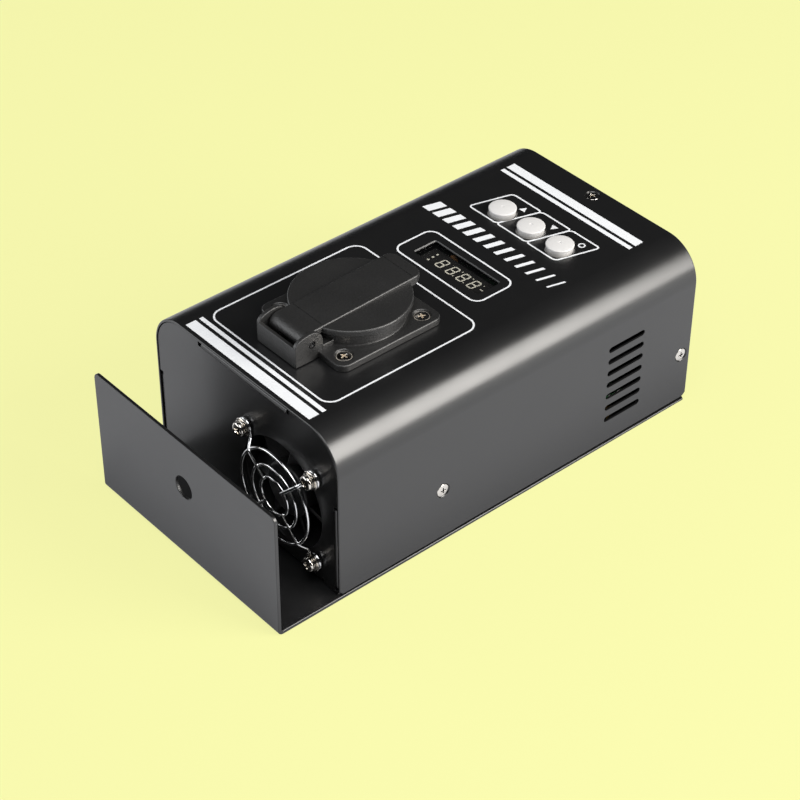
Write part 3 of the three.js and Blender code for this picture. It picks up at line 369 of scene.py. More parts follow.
class Finish:
    def __init__(self, name, colour, rough, **fixed):
        self.material = bpy.data.materials.new(name)
        self.material.use_nodes = True
        self.tree = self.material.node_tree
        self.shader = self.tree.nodes["Principled BSDF"]
        self.feed(self.shader.inputs["Base Color"], colour)
        self.feed(self.shader.inputs["Roughness"], rough)
        for socket, value in fixed.items():
            self.feed(self.shader.inputs[socket.replace("_", " ")], value)
        self.place = self.node("ShaderNodeTexCoord", {}, {}, "Object")

    def feed(self, socket, value):
        if isinstance(value, Wire):
            self.tree.links.new(value.socket, socket)
        elif socket.type == "RGBA" and len(value) == 3:
            socket.default_value = (*value, 1)
        else:
            socket.default_value = value

    # Adds any node: its settings first, then the values or links of its sockets
    def node(self, kind, settings, inputs, output=0):
        added = self.tree.nodes.new(kind)
        for name, value in settings.items():
            setattr(added, name, value)
        for name, value in inputs.items():
            self.feed(added.inputs[name], value)
        return Wire(self, added.outputs[output])

    def set(self, socket, value):
        self.feed(self.shader.inputs[socket], value)

    # A base colour, and a roughness that follows a pattern from one value to another
    def look(self, colour, pattern, low, high):
        self.set("Base Color", colour)
        self.set("Roughness", self.spread(pattern, low, high))

    def noise(self, millimetres, detail=2, roughness=0.5, place=None):
        return self.node("ShaderNodeTexNoise", {}, {
            "Vector": place or self.place, "Scale": 1000 / millimetres, "Detail": detail,
            "Roughness": roughness})

    def cells(self, millimetres, feature="F1"):
        return self.node("ShaderNodeTexVoronoi", {"feature": feature}, {
            "Vector": self.place, "Scale": 1000 / millimetres}, "Distance")

    def spread(self, value, low, high):
        return self.node("ShaderNodeMapRange", {}, {"Value": value, "To Min": low, "To Max": high})

    def between(self, value, low, high):
        return self.node("ShaderNodeMapRange", {"interpolation_type": "SMOOTHSTEP"},
                         {"Value": value, "From Min": low, "From Max": high})

    def blend(self, share, first, second):
        return self.node("ShaderNodeMix", {"data_type": "RGBA"}, {0: share, 6: first, 7: second}, 2)

    def bump(self, height, millimetres):
        self.set("Normal", self.node("ShaderNodeBump", {}, {
            "Height": height, "Distance": millimetres / 1000}))

    # The place on the piece in mm, seen from a point of the case and split into X, Y and Z
    def placeFrom(self, x=middleX, y=0, z=0):
        centred = self.node("ShaderNodeMapping", {}, {
            "Vector": self.place, "Location": (middleX - x, -y, -z), "Scale": (1000, 1000, 1000)})
        split = self.node("ShaderNodeSeparateXYZ", {}, {"Vector": centred})
        return [Wire(self, split.socket.node.outputs[axis]) for axis in "XYZ"]


def tinted(colour, share):
    return tuple(min(1, value * share) for value in colour)


# Satin powder coat: a fine ripple, slightly uneven sheen and a few specks of dust
def powderCoat(name, colour, rough, ripple, dust):
    finish = Finish(name, colour, rough, Specular_IOR_Level=0.86)
    cloud = finish.noise(22, 3)
    speck = finish.cells(3.1).below(0.028) * finish.noise(6, 1).above(0.56)
    shade = finish.blend(finish.noise(9, 4), tinted(colour, 0.9), tinted(colour, 1.12))
    finish.look(finish.blend(speck * dust, shade, (0.12, 0.12, 0.12)), cloud, rough - 0.04, rough + 0.04)
    finish.bump(finish.noise(0.9, 2) * 0.7 + finish.noise(0.28, 1) * 0.3, ripple)
    return finish.material


# Moulded plastic with a spark-eroded grain
def mouldedPlastic(name, colour, rough, grain, depth, level=0.5):
    finish = Finish(name, colour, rough, Specular_IOR_Level=level)
    pits = finish.noise(grain, 2, 0.6)
    cloud = finish.noise(14, 3)
    shade = finish.blend(pits * 0.8 + cloud * 0.2, tinted(colour, 0.5), tinted(colour, 1.55))
    finish.look(shade, cloud, rough - 0.05, rough + 0.05)
    finish.bump(pits, depth)
    return finish.material


# Plated or bare metal with fine scratches and a little tarnish
def plainMetal(name, colour, rough, scratch, tarnish, streak=(1, 1, 1), paintedShade=None):
    finish = Finish(name, colour, rough, Metallic=1.0)
    stretched = finish.node("ShaderNodeMapping", {}, {"Vector": finish.place, "Scale": streak})
    lines = finish.noise(0.25, 3, 0.6, stretched)
    cloud = finish.noise(3.5, 3)
    base = finish.blend(cloud, tinted(colour, tarnish), colour)
    # An optional mask paints shade into hollows, blending the metal to near black there
    if paintedShade:
        base = finish.blend(paintedShade(finish), base, (0.02, 0.019, 0.018))
    finish.look(base, lines * 0.5 + cloud * 0.5, rough * 0.7, rough * 1.35)
    finish.bump(lines, scratch)
    return finish.material


paint = {"colour": (0.0098, 0.0099, 0.0102), "rough": 0.30, "ripple": 0.003, "dust": 0.5}
steelColour = (0.80, 0.765, 0.71)
paintFinish = powderCoat("blackPowderCoat", **paint)
outletFinish = mouldedPlastic("outletPlastic", (0.0135, 0.0134, 0.0132), 0.46, 0.75, 0.15, 1.0)
fanFinish = mouldedPlastic("fanPlastic", (0.0105, 0.0105, 0.0108), 0.42, 0.6, 0.006)
blackFinish = mouldedPlastic("connectorPlastic", (0.0125, 0.0125, 0.013), 0.38, 0.5, 0.008)
switchFinish = mouldedPlastic("switchPlastic", (0.02, 0.02, 0.02), 0.45, 0.5, 0.006)
chromeFinish = plainMetal("chrome", (0.86, 0.865, 0.87), 0.11, 0.0006, 0.93)
screwFinish = plainMetal("screwSteel", steelColour, 0.12, 0.0005, 0.88)


# Painted shade: the crosses in the side screws are painted near black where they lie deeper than the head's
# dome.
# Places are seen from the middle between the screws.
def sideCrossShade(finish):
    x, y, z = finish.placeFrom(115.45, 0, 25.4)
    u = x.size() - 64.45
    reach = u * u + z * z
    depth = 55 - reach * 0.041 - y.size()
    return finish.between(depth, 0.03, 0.1) * reach.below(4)


# Painted highlight: the outlet's screws are painted bright, warm and less metallic down in the cross and at
# the rim, standing in for glints there
def glintedScrewSteel():
    finish = Finish("outletScrewSteel", steelColour, 0.16, Metallic=1.0)
    paintedGlint = finish.between(finish.placeFrom()[2], 77.43, 77.35)
    base = finish.blend(finish.noise(3.5, 3), (0.70, 0.67, 0.62), steelColour)
    finish.look(finish.blend(paintedGlint, base, (0.79, 0.71, 0.59)), paintedGlint, 0.16, 0.4)
    finish.set("Metallic", 1 - paintedGlint * 0.85)
    return finish.material


outletScrewFinish = glintedScrewSteel()
sideScrewFinish = plainMetal("sideScrewSteel", steelColour, 0.12, 0.0005, 0.88, paintedShade=sideCrossShade)
pinFinish = plainMetal("pinSteel", (0.07, 0.07, 0.072), 0.36, 0.001, 0.8)
darkScrewFinish = plainMetal("blackSteel", (0.045, 0.044, 0.045), 0.3, 0.001, 0.8)
zincFinish = plainMetal("zinc", (0.60, 0.61, 0.62), 0.33, 0.001, 0.8, (1, 1, 0.2))
nickelFinish = plainMetal("nickel", (0.58, 0.565, 0.54), 0.24, 0.0008, 0.86)
brassFinish = plainMetal("brass", (0.62, 0.42, 0.14), 0.26, 0.0008, 0.78)
springFinish = plainMetal("springSteel", (0.36, 0.36, 0.37), 0.25, 0.0008, 0.8)
sinkFinish = plainMetal("heatSinkMetal", (0.50, 0.51, 0.52), 0.4, 0.002, 0.85, (0.06, 1, 1))


# Screen ink: opaque white with a very slight tooth and softly uneven cover
def screenInk():
    finish = Finish("whiteInk", (0.83, 0.845, 0.86), 0.5)
    cloud = finish.noise(5, 4)
    finish.look(finish.blend(cloud, (0.84, 0.86, 0.89), (0.92, 0.94, 0.965)), cloud, 0.42, 0.58)
    finish.bump(finish.noise(0.5, 2), 0.004)
    return finish.material


# Button plastic: milky white, with painted shade that darkens it low on the skirt
def buttonPlastic():
    finish = Finish("buttonWhite", (0.76, 0.75, 0.74), 0.34)
    height = finish.placeFrom()[2]
    mottle = finish.noise(2.2, 3)
    # Painted shade: darker towards the panel, low on the skirt
    skirtShade = finish.between(height, 77.4, 74.6)
    base = finish.blend(mottle, (0.745, 0.735, 0.725), (0.79, 0.782, 0.772))
    finish.look(finish.blend(skirtShade * 0.55, base, (0.42, 0.40, 0.375)), mottle, 0.3, 0.4)
    finish.bump(finish.noise(0.45, 2), 0.003)
    return finish.material


def smokedPane():
    finish = Finish("smokedPane", (0.012, 0.012, 0.013), 0.06, Alpha=0.13)
    haze = finish.noise(11, 3)
    finish.look(finish.blend(haze, (0.010, 0.010, 0.011), (0.015, 0.015, 0.016)), haze, 0.04, 0.1)
    return finish.material


def displayFace():
    finish = Finish("displayFace", (0.014, 0.014, 0.014), 0.5)
    mottle = finish.noise(1.4, 3)
    finish.look(finish.blend(mottle, (0.010, 0.010, 0.010), (0.020, 0.019, 0.018)), mottle, 0.4, 0.58)
    finish.bump(mottle, 0.008)
    return finish.material


# Clouded resin of an unlit segment
def segmentResin():
    finish = Finish("segmentResin", (0.86, 0.82, 0.66), 0.38)
    milk = finish.noise(0.8, 3)
    finish.look(finish.blend(milk, (0.88, 0.84, 0.68), (0.97, 0.95, 0.83)), milk, 0.3, 0.45)
    return finish.material


# Circuit board: green mask over tracks, with tinned pads
def circuitBoard():
    finish = Finish("circuitBoard", (0.018, 0.09, 0.035), 0.35)
    x, y, _ = finish.placeFrom()
    lane = (x * 0.42).saw()
    bend = finish.cells(9, "DISTANCE_TO_EDGE").below(0.06)
    track = (lane.below(0.4) * finish.noise(17, 1).above(0.5)).larger(bend)
    mask = finish.blend(track, (0.012, 0.065, 0.026), (0.03, 0.145, 0.05))
    u, v = [(place / 5.08).saw() - 0.5 for place in (x, y)]
    pad = (u * u + v * v).below(0.022)
    finish.look(finish.blend(pad, mask, (0.62, 0.62, 0.60)), finish.noise(6, 2), 0.28, 0.42)
    finish.set("Metallic", pad * 0.9)
    finish.bump(track.larger(pad), 0.04)
    return finish.material


# Enamelled copper, wound round a ring that lies flat
def woundCopper(centre, turns):
    finish = Finish("windingCopper", (0.55, 0.19, 0.06), 0.3, Metallic=0.85)
    x, y, _ = finish.placeFrom(*centre)
    strand = (y.math("ARCTAN2", y, x) * turns).wave()
    # The copper is painted darker towards the grooves between the strands, as shade there
    copper = finish.blend(strand * 0.5 + 0.5, (0.20, 0.055, 0.018), (0.66, 0.25, 0.085))
    finish.look(copper, strand, 0.5, 0.26)
    finish.bump(strand, 0.3)
    return finish.material


# Transformer: stacked laminations with a taped winding between the limbs
def laminatedCore():
    finish = Finish("laminatedCore", (0.2, 0.2, 0.21), 0.45)
    _, y, z = finish.placeFrom(123, 20, 24.5)
    tape = y.size().above(7.05)
    sheet = (y * 2 / 0.5 * math.pi).wave() * 0.5 + 0.5
    steel = finish.blend(sheet, (0.10, 0.10, 0.105), (0.30, 0.30, 0.31))
    wrap = finish.blend((z * 0.55).saw().below(0.08), (0.55, 0.33, 0.03), (0.24, 0.13, 0.01))
    finish.look(finish.blend(tape, steel, wrap), tape, 0.42, 0.3)
    finish.set("Metallic", (1 - tape) * 0.8)
    finish.bump(sheet * (1 - tape), 0.08)
    return finish.material


def capacitorSleeve():
    finish = Finish("sleeveBlue", (0.02, 0.055, 0.17), 0.28)
    x, y, z = finish.placeFrom(148, 28, 12)
    stripe = y.math("ARCTAN2", y, x).size().below(0.35)
    cap = z.above(20.7) * (x * x + y * y).below(29)
    body = finish.blend(stripe, (0.018, 0.05, 0.16), (0.55, 0.57, 0.60))
    finish.look(finish.blend(cap, body, (0.62, 0.62, 0.63)), finish.noise(3, 2), 0.22, 0.36)
    finish.set("Metallic", cap * 0.9)
    finish.bump(finish.noise(1.5, 2), 0.02)
    return finish.material


terminalFinish = mouldedPlastic("terminalGreen", (0.022, 0.19, 0.065), 0.4, 0.5, 0.008)
discFinish = mouldedPlastic("capacitorResin", (0.27, 0.13, 0.045), 0.35, 1.2, 0.01)
inkFinish = screenInk()
buttonFinish = buttonPlastic()
paneFinish = smokedPane()
faceFinish = displayFace()
segmentFinish = segmentResin()
boardFinish = circuitBoard()
copperFinish = woundCopper((84, 23, 0), 58)
coreFinish = laminatedCore()
sleeveFinish = capacitorSleeve()
print("finishes ready")

# The folded cover: rounded shoulders, vents, window, button holes and screw holes
cover = {"length": 185, "half": 55, "low": 2.6, "top": 75, "sheet": 1, "shoulder": 16.5, "cornerCut": 1.8}
vents = {"count": 7, "x": 146.8, "z": 31.3, "pitch": 5.8, "length": 19.6, "width": 2.55}
window = {"x": (98.7, 110.2), "y": (-19.8, 17.2), "corner": 0.6}
buttons = {"x": 143.5, "y": (-18.5, -1.95, 14.6), "hole": 6.1, "radius": 5.75, "rise": 3}
coverScrew = {"dome": 0.32, "head": 2.8, "headDepth": 1.3, "shank": 1.45, "length": 7, "z": 25.4,
              "sides": [(51, -1), (51, 1), (179.9, -1), (179.9, 1)], "topX": 179.9}
outlet = {"x": 52, "flange": 50, "corner": 4, "flangeTop": 3, "screws": 19, "collar": 23.7, "neck": 21.3,
          "collarTop": 8.6, "recess": 19.5, "recessDepth": 17.5, "wall": 2, "floor": 3, "rear": 17,
          "rearDepth": 11, "contacts": 9.5, "earthSlot": (18.1, 19.8)}


# A drum that cuts through the cover's top
def topHole(centre, radius, sides):
    return addDrum("z", 70, 80, centre, radius, sides)


# A funnel that sinks a screw head, looking along +Z with the sheet's face at 0
def sinkTool(head, depth, shank, reach):
    return turnPiece("z", [(0, 1), (head + 0.4, 1), (head + 0.4, -0.25), (shank + 0.3, -depth - 0.3),
                           (shank + 0.3, -reach), (0, -reach)], sides=32)


# A painted sheet. Its soft edges aren't clamped, or the small cuts would flatten them.
def finishSheet(piece, name, stoodFor, *edge):
    softenEdges(piece, *edge, clamp=False)
    finishPiece(piece, name, paintFinish, "black_paint", stoodFor)


def makeCover():
    c, s, o = cover, coverScrew, outlet
    shell = addBlock((0, -c["half"], c["low"]), (c["length"], c["half"], c["top"]))
    roundEdges(shell, c["shoulder"], 24, along("x", lambda place: place.z > c["top"] - 0.1))
    pick(shell, "FACE", lambda place, normal: abs(normal.x) > 0.9 or normal.z < -0.9)
    bpy.ops.mesh.delete(type="ONLY_FACE")
    leaveEdit()
    pick(shell, "VERT", lambda place, _: place.z < c["low"] + 0.01)
    bpy.ops.mesh.bevel(offset=c["cornerCut"], segments=1, affect="VERTICES", clamp_overlap=False)
    leaveEdit()
    applyModifier(shell, "SOLIDIFY", thickness=c["sheet"], offset=-1, use_even_offset=True)
    lowest = vents["z"] - (vents["count"] - 1) * vents["pitch"] / 2
    tools = [tidyMesh(addPlate("y", -56, 56, (vents["x"], lowest + i * vents["pitch"]), vents["length"],
                               vents["width"], vents["width"] / 2, 6)) for i in range(vents["count"])]
    tools.append(topHole((o["x"], 0), o["recess"] + o["wall"] + 0.3, 64))
    tools += [topHole((o["x"] + x * o["screws"], y * o["screws"]), 2, 16) for x, y in fourCorners]
    wide, deep = window["x"], window["y"]
    tools.append(addPlate("z", 70, 80, (sum(wide) / 2, sum(deep) / 2), wide[1] - wide[0],
                          deep[1] - deep[0], window["corner"], 3))
    tools += [topHole((buttons["x"], y), buttons["hole"], 48) for y in buttons["y"]]
    sink = sinkTool(s["head"], s["headDepth"], s["shank"], 4)
    for x, side in s["sides"]:
        tools.append(copied(sink, (x, side * c["half"], s["z"]), (-side * 90, 0, 0)))
    tools.append(moved(sink, (s["topX"], 0, c["top"])))
    cut(shell, *tools)

    def outerEnd(place, way):
        sideways = max(0, abs(place.y) - c["half"] + c["shoulder"])
        upward = max(0, place.z - c["top"] + c["shoulder"])
        return (min(abs(place.x), abs(place.x - c["length"])) < 0.01 and abs(way.x) < 0.01
                and place.z > 5 and math.hypot(sideways, upward) > c["shoulder"] - 0.06)
    roundEdges(shell, 0.62, 5, outerEnd)

    def windowEdge(place, way):
        inside = wide[0] - 0.01 < place.x < wide[1] + 0.01 and deep[0] - 0.01 < place.y < deep[1] + 0.01
        return inside and place.z > c["top"] - 0.01 and abs(way.z) < 0.01
    roundEdges(shell, 0.36, 1, windowEdge)
    finishSheet(shell, "cover", "top_cover", 0.16, 2, 50)


# The base with the hanging bracket folded up from it
base = {"sheet": 1.5, "bend": 2.3, "end": 184, "edge": 0.72}
bracket = {"x": -29, "height": 57.3, "corner": 2.5, "hole": 5, "holeZ": 35.7}


def makeBase():
    b, k = base, bracket
    sheet, half = b["sheet"], cover["half"]
    chassis = addBlock((k["x"], -half, 0), (b["end"], half, k["height"]))
    cut(chassis, addBlock((k["x"] + sheet, -half - 1, sheet), (b["end"] + 1, half + 1, k["height"] + 1)))
    roundEdges(chassis, b["bend"], 8, along("y", lambda place: place.x < k["x"] + 0.1 and place.z < 0.1))
    roundEdges(chassis, b["bend"] - sheet, 6, along(
        "y", lambda place: abs(place.x - k["x"] - sheet) < 0.1 and abs(place.z - sheet) < 0.1))
    roundEdges(chassis, k["corner"], 8, along(
        "x", lambda place: place.z > k["height"] - 0.1 and abs(place.y) > half - 1))
    cut(chassis, addDrum("x", k["x"] - 2, k["x"] + 4, (0, k["holeZ"]), k["hole"], 64))
    roundEdges(chassis, b["edge"], 1, along(
        "x", lambda place: abs(place.z - sheet) < 0.01 and abs(place.y) > half - 0.1))
    finishSheet(chassis, "baseAndBracket", "base_chassis", 0.3, 3, 40)


# End walls. Each is a plate with folded flanges, made with its outer face at X 0.
wall = {"sheet": 1.2, "bend": 1.8, "flange": 11, "half": 53.7, "top": 73.7, "shoulder": 15.2, "low": 1.8,
        "sideLow": 4.8, "sideTop": 43, "tab": 25.5, "foot": 44, "relief": 1.6}
fan = {"y": -21.5, "z": 31.3, "duct": 23.3, "screws": 20, "size": 50, "depth": 15, "plate": 3, "tube": 1.4,
       "motor": 12}


# A strip with one bend. The distance tells how far a place is from the fold's edge, at the outer
# face or a sheet deeper.
def foldedStrip(low, high, inner, axis, distance):
    strip = addBlock(low, high)
    cut(strip, addBlock(*inner))
    for radius, segments, depth in ((wall["bend"], 6, 0), (wall["bend"] - wall["sheet"], 5, wall["sheet"])):
        roundEdges(strip, radius, segments, along(
            axis, lambda place: abs(place.x - depth) < 0.05 and abs(distance(place, depth)) < 0.05))
    return strip


def makeWall():
    w = wall
    t, reach, r, top, low, half = w["sheet"], w["flange"], w["relief"], w["top"], w["low"], w["half"]
    plate = addBlock((0, -half, low), (t, half, top))
    roundEdges(plate, w["shoulder"], 16, along("x", lambda place: place.z > top - 0.1))
    rise = w["bend"] + r
    notches = [addBlock((-1, -w["tab"] - r, top - w["bend"]), (t + 1, w["tab"] + r, top + 1)),
               addBlock((-1, -w["foot"] - r, low - 1), (t + 1, w["foot"] + r, low + w["bend"]))]
    folds = [
        foldedStrip((0, -w["tab"], top - rise), (reach, w["tab"], top),
                    ((t, -60, top - 20), (reach + 1, 60, top - t)), "y", lambda p, d: p.z - top + d),
        foldedStrip((0, -w["foot"], low), (reach, w["foot"], low + rise),
                    ((t, -60, low + t), (reach + 1, 60, low + 20)), "y", lambda p, d: p.z - low - d),
    ]
    for side in (-1, 1):
        notch, fold, inner = [sorted((side * a, side * b)) for a, b in (
            (half - w["bend"], half + 1), (half, half - rise), (half - t, half - 20))]
        notches.append(addBlock((-1, notch[0], w["sideLow"] - r), (t + 1, notch[1], w["sideTop"] + r)))
        folds.append(foldedStrip((0, fold[0], w["sideLow"]), (reach, fold[1], w["sideTop"]),
                                 ((t, inner[0], 0), (reach + 1, inner[1], 60)), "z",
                                 lambda p, d: abs(p.y) - half + d))
    cut(plate, *notches)
    return weld(plate, *folds)


# A drum that cuts through an end wall
def wallHole(y, z, radius, sides):
    return addDrum("x", -2, 3, (y, z), radius, sides)


def makeFanWall():
    plate = makeWall()
    f = fan
    cut(plate, wallHole(f["y"], f["z"], f["duct"], 72),
        *[wallHole(f["y"] + y * f["screws"], f["z"] + z * f["screws"], 2.2, 20) for y, z in fourCorners])
    moved(plate, (gap, 0, 0))
    finishSheet(plate, "fanEndWall", "fan_end_wall", 0.12, 2, 40)


inlet = {"y": 14, "z": 21.5, "hole": (27.6, 20.6), "flange": (31, 24.5), "body": (27, 20),
         "rim": (25.2, 17.8), "blades": ((-7, 0), (0, 2.4), (7, 0)),
         "mouth": [(-11.5, -7.8), (11.5, -7.8), (11.5, 3.6), (7.3, 7.8), (-7.3, 7.8), (-11.5, 3.6)]}
fuse = {"y": -30, "z": 21.5, "hole": 6.5}
signal = {"y": (18, -18), "z": 52, "flange": (26, 31), "body": 12.6, "ring": 11.2, "bore": 9.7,
          "contacts": 4.75, "screws": ((-9.5, 12), (9.5, -12))}
farWall = cover["length"] - gap


# The connector end is made as seen from outside, with X into the case, and turned to its place.
def makeConnectorWall():
    plate = makeWall()
    tools = [addPlate("x", -2, 3, (-inlet["y"], inlet["z"]), *inlet["hole"], 0.5, 3),
             wallHole(-fuse["y"], fuse["z"], fuse["hole"], 40)]
    for y in signal["y"]:
        tools.append(wallHole(-y, signal["z"], signal["body"] + 0.3, 56))
        tools += [wallHole(u - y, signal["z"] + v, 1.2, 16) for u, v in signal["screws"]]
    hole, behind = coverScrew["shank"] + 0.3, farWall - coverScrew["topX"]
    tools.append(addDrum("y", -60, 60, (behind, coverScrew["z"]), hole, 20))
    tools.append(addDrum("z", 66, 80, (behind, 0), hole, 20))
    cut(plate, *tools)
    moved(plate, (farWall, 0, 0), (0, 0, 180))
    finishSheet(plate, "connectorEndWall", "connector_end_wall", 0.12, 2, 40)


makeCover()
print("cover made")
makeBase()
makeFanWall()
makeConnectorWall()
print("base and end walls made")


# Screen print on the panel. Places are from the cover's fan end, and across from the middle.
ink = {"line": 0.76, "low": 75.006, "high": 75.03}


def inkBar(x0, x1, y0, y1):
    return addBlock((x0, y0, ink["low"]), (x1, y1, ink["high"]))


# A line frame with rounded corners. Points run round it, and its corners may slant.
# It is drawn far off, so that no corner passes for one that still has to move.
def inkFrame(corners, radius):
    deselect()
    bpy.ops.mesh.primitive_plane_add(size=2, location=(0, 0, ink["low"]))
    sheet = applyPlace(bpy.context.object)
    for (u, v), (x, y) in zip([(-1, -1), (1, -1), (1, 1), (-1, 1)], corners):
        shiftCorners(sheet, lambda place: abs(place.x - u) < 0.01 and abs(place.y - v) < 0.01,
                     (1000 + x - u, y - v, 0))
    moved(sheet, (-1000, 0, 0))
    pick(sheet, "VERT", lambda place, _: True)
    bpy.ops.mesh.bevel(offset=radius, segments=10, affect="VERTICES", offset_type="OFFSET")
    bpy.ops.mesh.select_mode(type="FACE")
    bpy.ops.mesh.select_all(action="SELECT")
    bpy.ops.mesh.inset(thickness=ink["line"], use_even_offset=True)
    bpy.ops.mesh.delete(type="FACE")
    leaveEdit()
    return applyModifier(sheet, "SOLIDIFY", thickness=ink["high"] - ink["low"], offset=1)


def boxCorners(x0, x1, y0, y1):
    return [(x0, y0), (x1, y0), (x1, y1), (x0, y1)]


def makePrint():
    parts = [
        inkBar(1.9, 6.55, -36.9, 36.7), inkBar(8.1, 9.9, -36.9, 36.7),
        inkBar(163.9, 165.9, -36.6, 37.8), inkBar(167.4, 171.7, -36.6, 37.8),
        inkFrame(boxCorners(11.7, 86.0, -35.7, 36.5), 5.7),
        inkFrame(boxCorners(93.6, 114.6, -24.5, 24.7), 4.6),
    ]
    lowSide, highSide = (-23.4, -6.9, 10.4, 26.7), (-29.0, -12.8, 4.2, 21.1)
    cells = [inkFrame([(136.1, lowSide[i]), (156.2, highSide[i]), (156.2, highSide[i + 1] + 0.7),
                       (136.1, lowSide[i + 1] + 0.7)], 2.1) for i in range(3)]
    framed = weld(*cells)
    cut(framed, *[topHole((buttons["x"], y), buttons["hole"] + 0.15, 48) for y in buttons["y"]])
    parts.append(framed)
    # A ramp of slanted bars, from thin to thick, stands for the level that the pack sets
    bars = 13
    for i in range(bars):
        start = -36.4 + 74.6 * i / bars
        bar = inkBar(121.8, 129.7, start, start + 0.9 + 3.3 * i / (bars - 1))
        shiftCorners(bar, lambda place: place.x < 125, (0, 2.1, 0))
        parts.append(bar)
    # Plain symbols beside the buttons: a ring, an up arrow and a down arrow
    x, height = 151.6, (ink["low"], ink["high"])
    parts.append(cut(addDrum("z", *height, (x, -22.6), 1.55, 40), topHole((x, -22.6), 0.95, 40)))
    for y, way in ((-6.4, -1), (10.6, 1)):
        parts.append(addOutline("z", *height, [
            (x + way * 1.6, y), (x - way * 1.3, y - 1.6), (x - way * 1.3, y + 1.6)]))
    finishPiece(joinAll(parts), "panelPrint", inkFinish, "button_white")


makePrint()
print("print made")


# Round wire through points, smoothed
def addWire(points, radius, sides=3):
    deselect()
    bpy.ops.curve.primitive_nurbs_path_add()
    path = bpy.context.object
    path.data.splines.clear()
    line = path.data.splines.new("NURBS")
    line.points.add(len(points) - 1)
    for knot, place in zip(line.points, points):
        knot.co = (*place, 1)
    line.use_endpoint_u = True
    line.order_u = 3
    line.resolution_u = 4
    path.data.bevel_depth = radius
    path.data.bevel_resolution = sides
    path.data.use_fill_caps = True
    bpy.ops.object.convert(target="MESH")
    return tidyMesh(applyPlace(bpy.context.object))


# The four-armed tool that sinks a cross into a head, narrowing as it goes down
def crossTool(radius, arm, depth):
    bar = addBlock((-radius, -arm, -depth), (radius, arm, 1.0))
    pick(bar, "FACE", lambda place, normal: normal.z < -0.9)
    bpy.ops.transform.resize(value=(0.4, 0.2, 1), center_override=(0, 0, -depth))
    leaveEdit()
    return weld(bar, copied(bar, turn=(0, 0, 90)))


# Screws. Each kind is modelled once, looking along +Z, and copied.
def sunkScrew(s):
    edge = 0.14
    screw = turnPiece("z", [
        (0, -s["length"]), (s["shank"] - 0.3, -s["length"]), (s["shank"], -s["length"] + 0.3),
        (s["shank"], -s["headDepth"]), (s["head"] - 0.02, -s["dome"] - edge), (s["head"] - edge, -s["dome"]),
        *[(s["head"] * share, -s["dome"] * share ** 2) for share in (0.8, 0.62, 0.44, 0.2)], (0, 0)])
    cut(screw, crossTool(s["head"] * 0.66, s["head"] * 0.17, s["headDepth"] * 0.9))
    return softenEdges(screw, 0.05, 2, 30, 40)


def placeScrew(master, name, stoodFor, place, turn, finish):
    finishPiece(copied(master, place, turn), name, finish, "screw_steel", stoodFor)


def makeCoverScrews():
    s = coverScrew
    master = sunkScrew(s)
    for i, (x, side) in enumerate(s["sides"]):
        placeScrew(master, f"sideScrew.{i + 1}", f"side_screw_{i + 1}", (x, side * cover["half"], s["z"]),
                   (-side * 90, 0, 0), sideScrewFinish)
    placeScrew(master, "topScrew", "top_screw", (s["topX"], 0, cover["top"]), (0, 0, 0), screwFinish)
    drop(master)


makeCoverScrews()

# The outlet, in mm from the middle of its flange and from the cover's outside
hinge = {"x": -27.8, "z": 7.5, "pin": 1.3, "ear": 5.1, "earSheet": 1.7, "half": 11.5, "front": 7.9,
         "frontTop": 9, "frontSheet": 1.5, "floor": 1.8, "ledge": 3, "ledgeTop": 5.2, "ledgeReach": 11}
lid = {"under": 8.9, "top": 11.3, "barrel": 3.9, "bore": 1.65, "half": 9.4, "end": 13.1, "reach": 28.3,
       "tabSheet": 2.6, "tabCorner": 4, "rim": 18.9, "rimSheet": 1.6, "rimDepth": 1.2, "pocket": 4.5,
       "pocketRadius": 3.1, "seams": (-20.6, 23.4)}
outletScrew = {"dome": 0.22, "head": 3.1, "headDepth": 1.5, "sink": 0.4, "shank": 1.7, "length": 9}
toOutlet = (outlet["x"], 0, cover["top"])


def makeHingeBlock():
    h = hinge
    x, z, left = h["x"], h["z"], h["x"] - h["front"]
    brow = arcPoints(x, h["frontTop"], h["front"], 180, 90, 12, z + h["ear"] - h["frontTop"])
    outline = [(left, 0.3), *brow, *arcPoints(x, z, h["ear"], 90, 0, 12)[1:], (x + h["ear"], 0.3)]
    parts = []
    # The undersides differ a little, so that no two faces lie in one plane
    for side in (-1, 1):
        near, far = sorted((side * h["half"], side * (h["half"] - h["earSheet"])))
        parts.append(bevelSharp(addOutline("y", near, far, outline), 0.32))
        near, far = sorted((side * (h["half"] + 0.2), side * (h["half"] - h["ledge"])))
        parts.append(bevelSharp(addBlock((x + h["ear"] - 0.4, near, 0.36),
                                         (x + h["ledgeReach"], far, h["ledgeTop"])), 0.3))
    parts.append(bevelSharp(addBlock((left, -h["half"] + 0.3, 0.33),
                                     (left + h["frontSheet"], h["half"] - 0.3, h["frontTop"])), 0.28))
    parts.append(addBlock((left + 0.2, -h["half"] + 0.4, 0.39), (-23.5, h["half"] - 0.4, 0.3 + h["floor"])))
    return parts


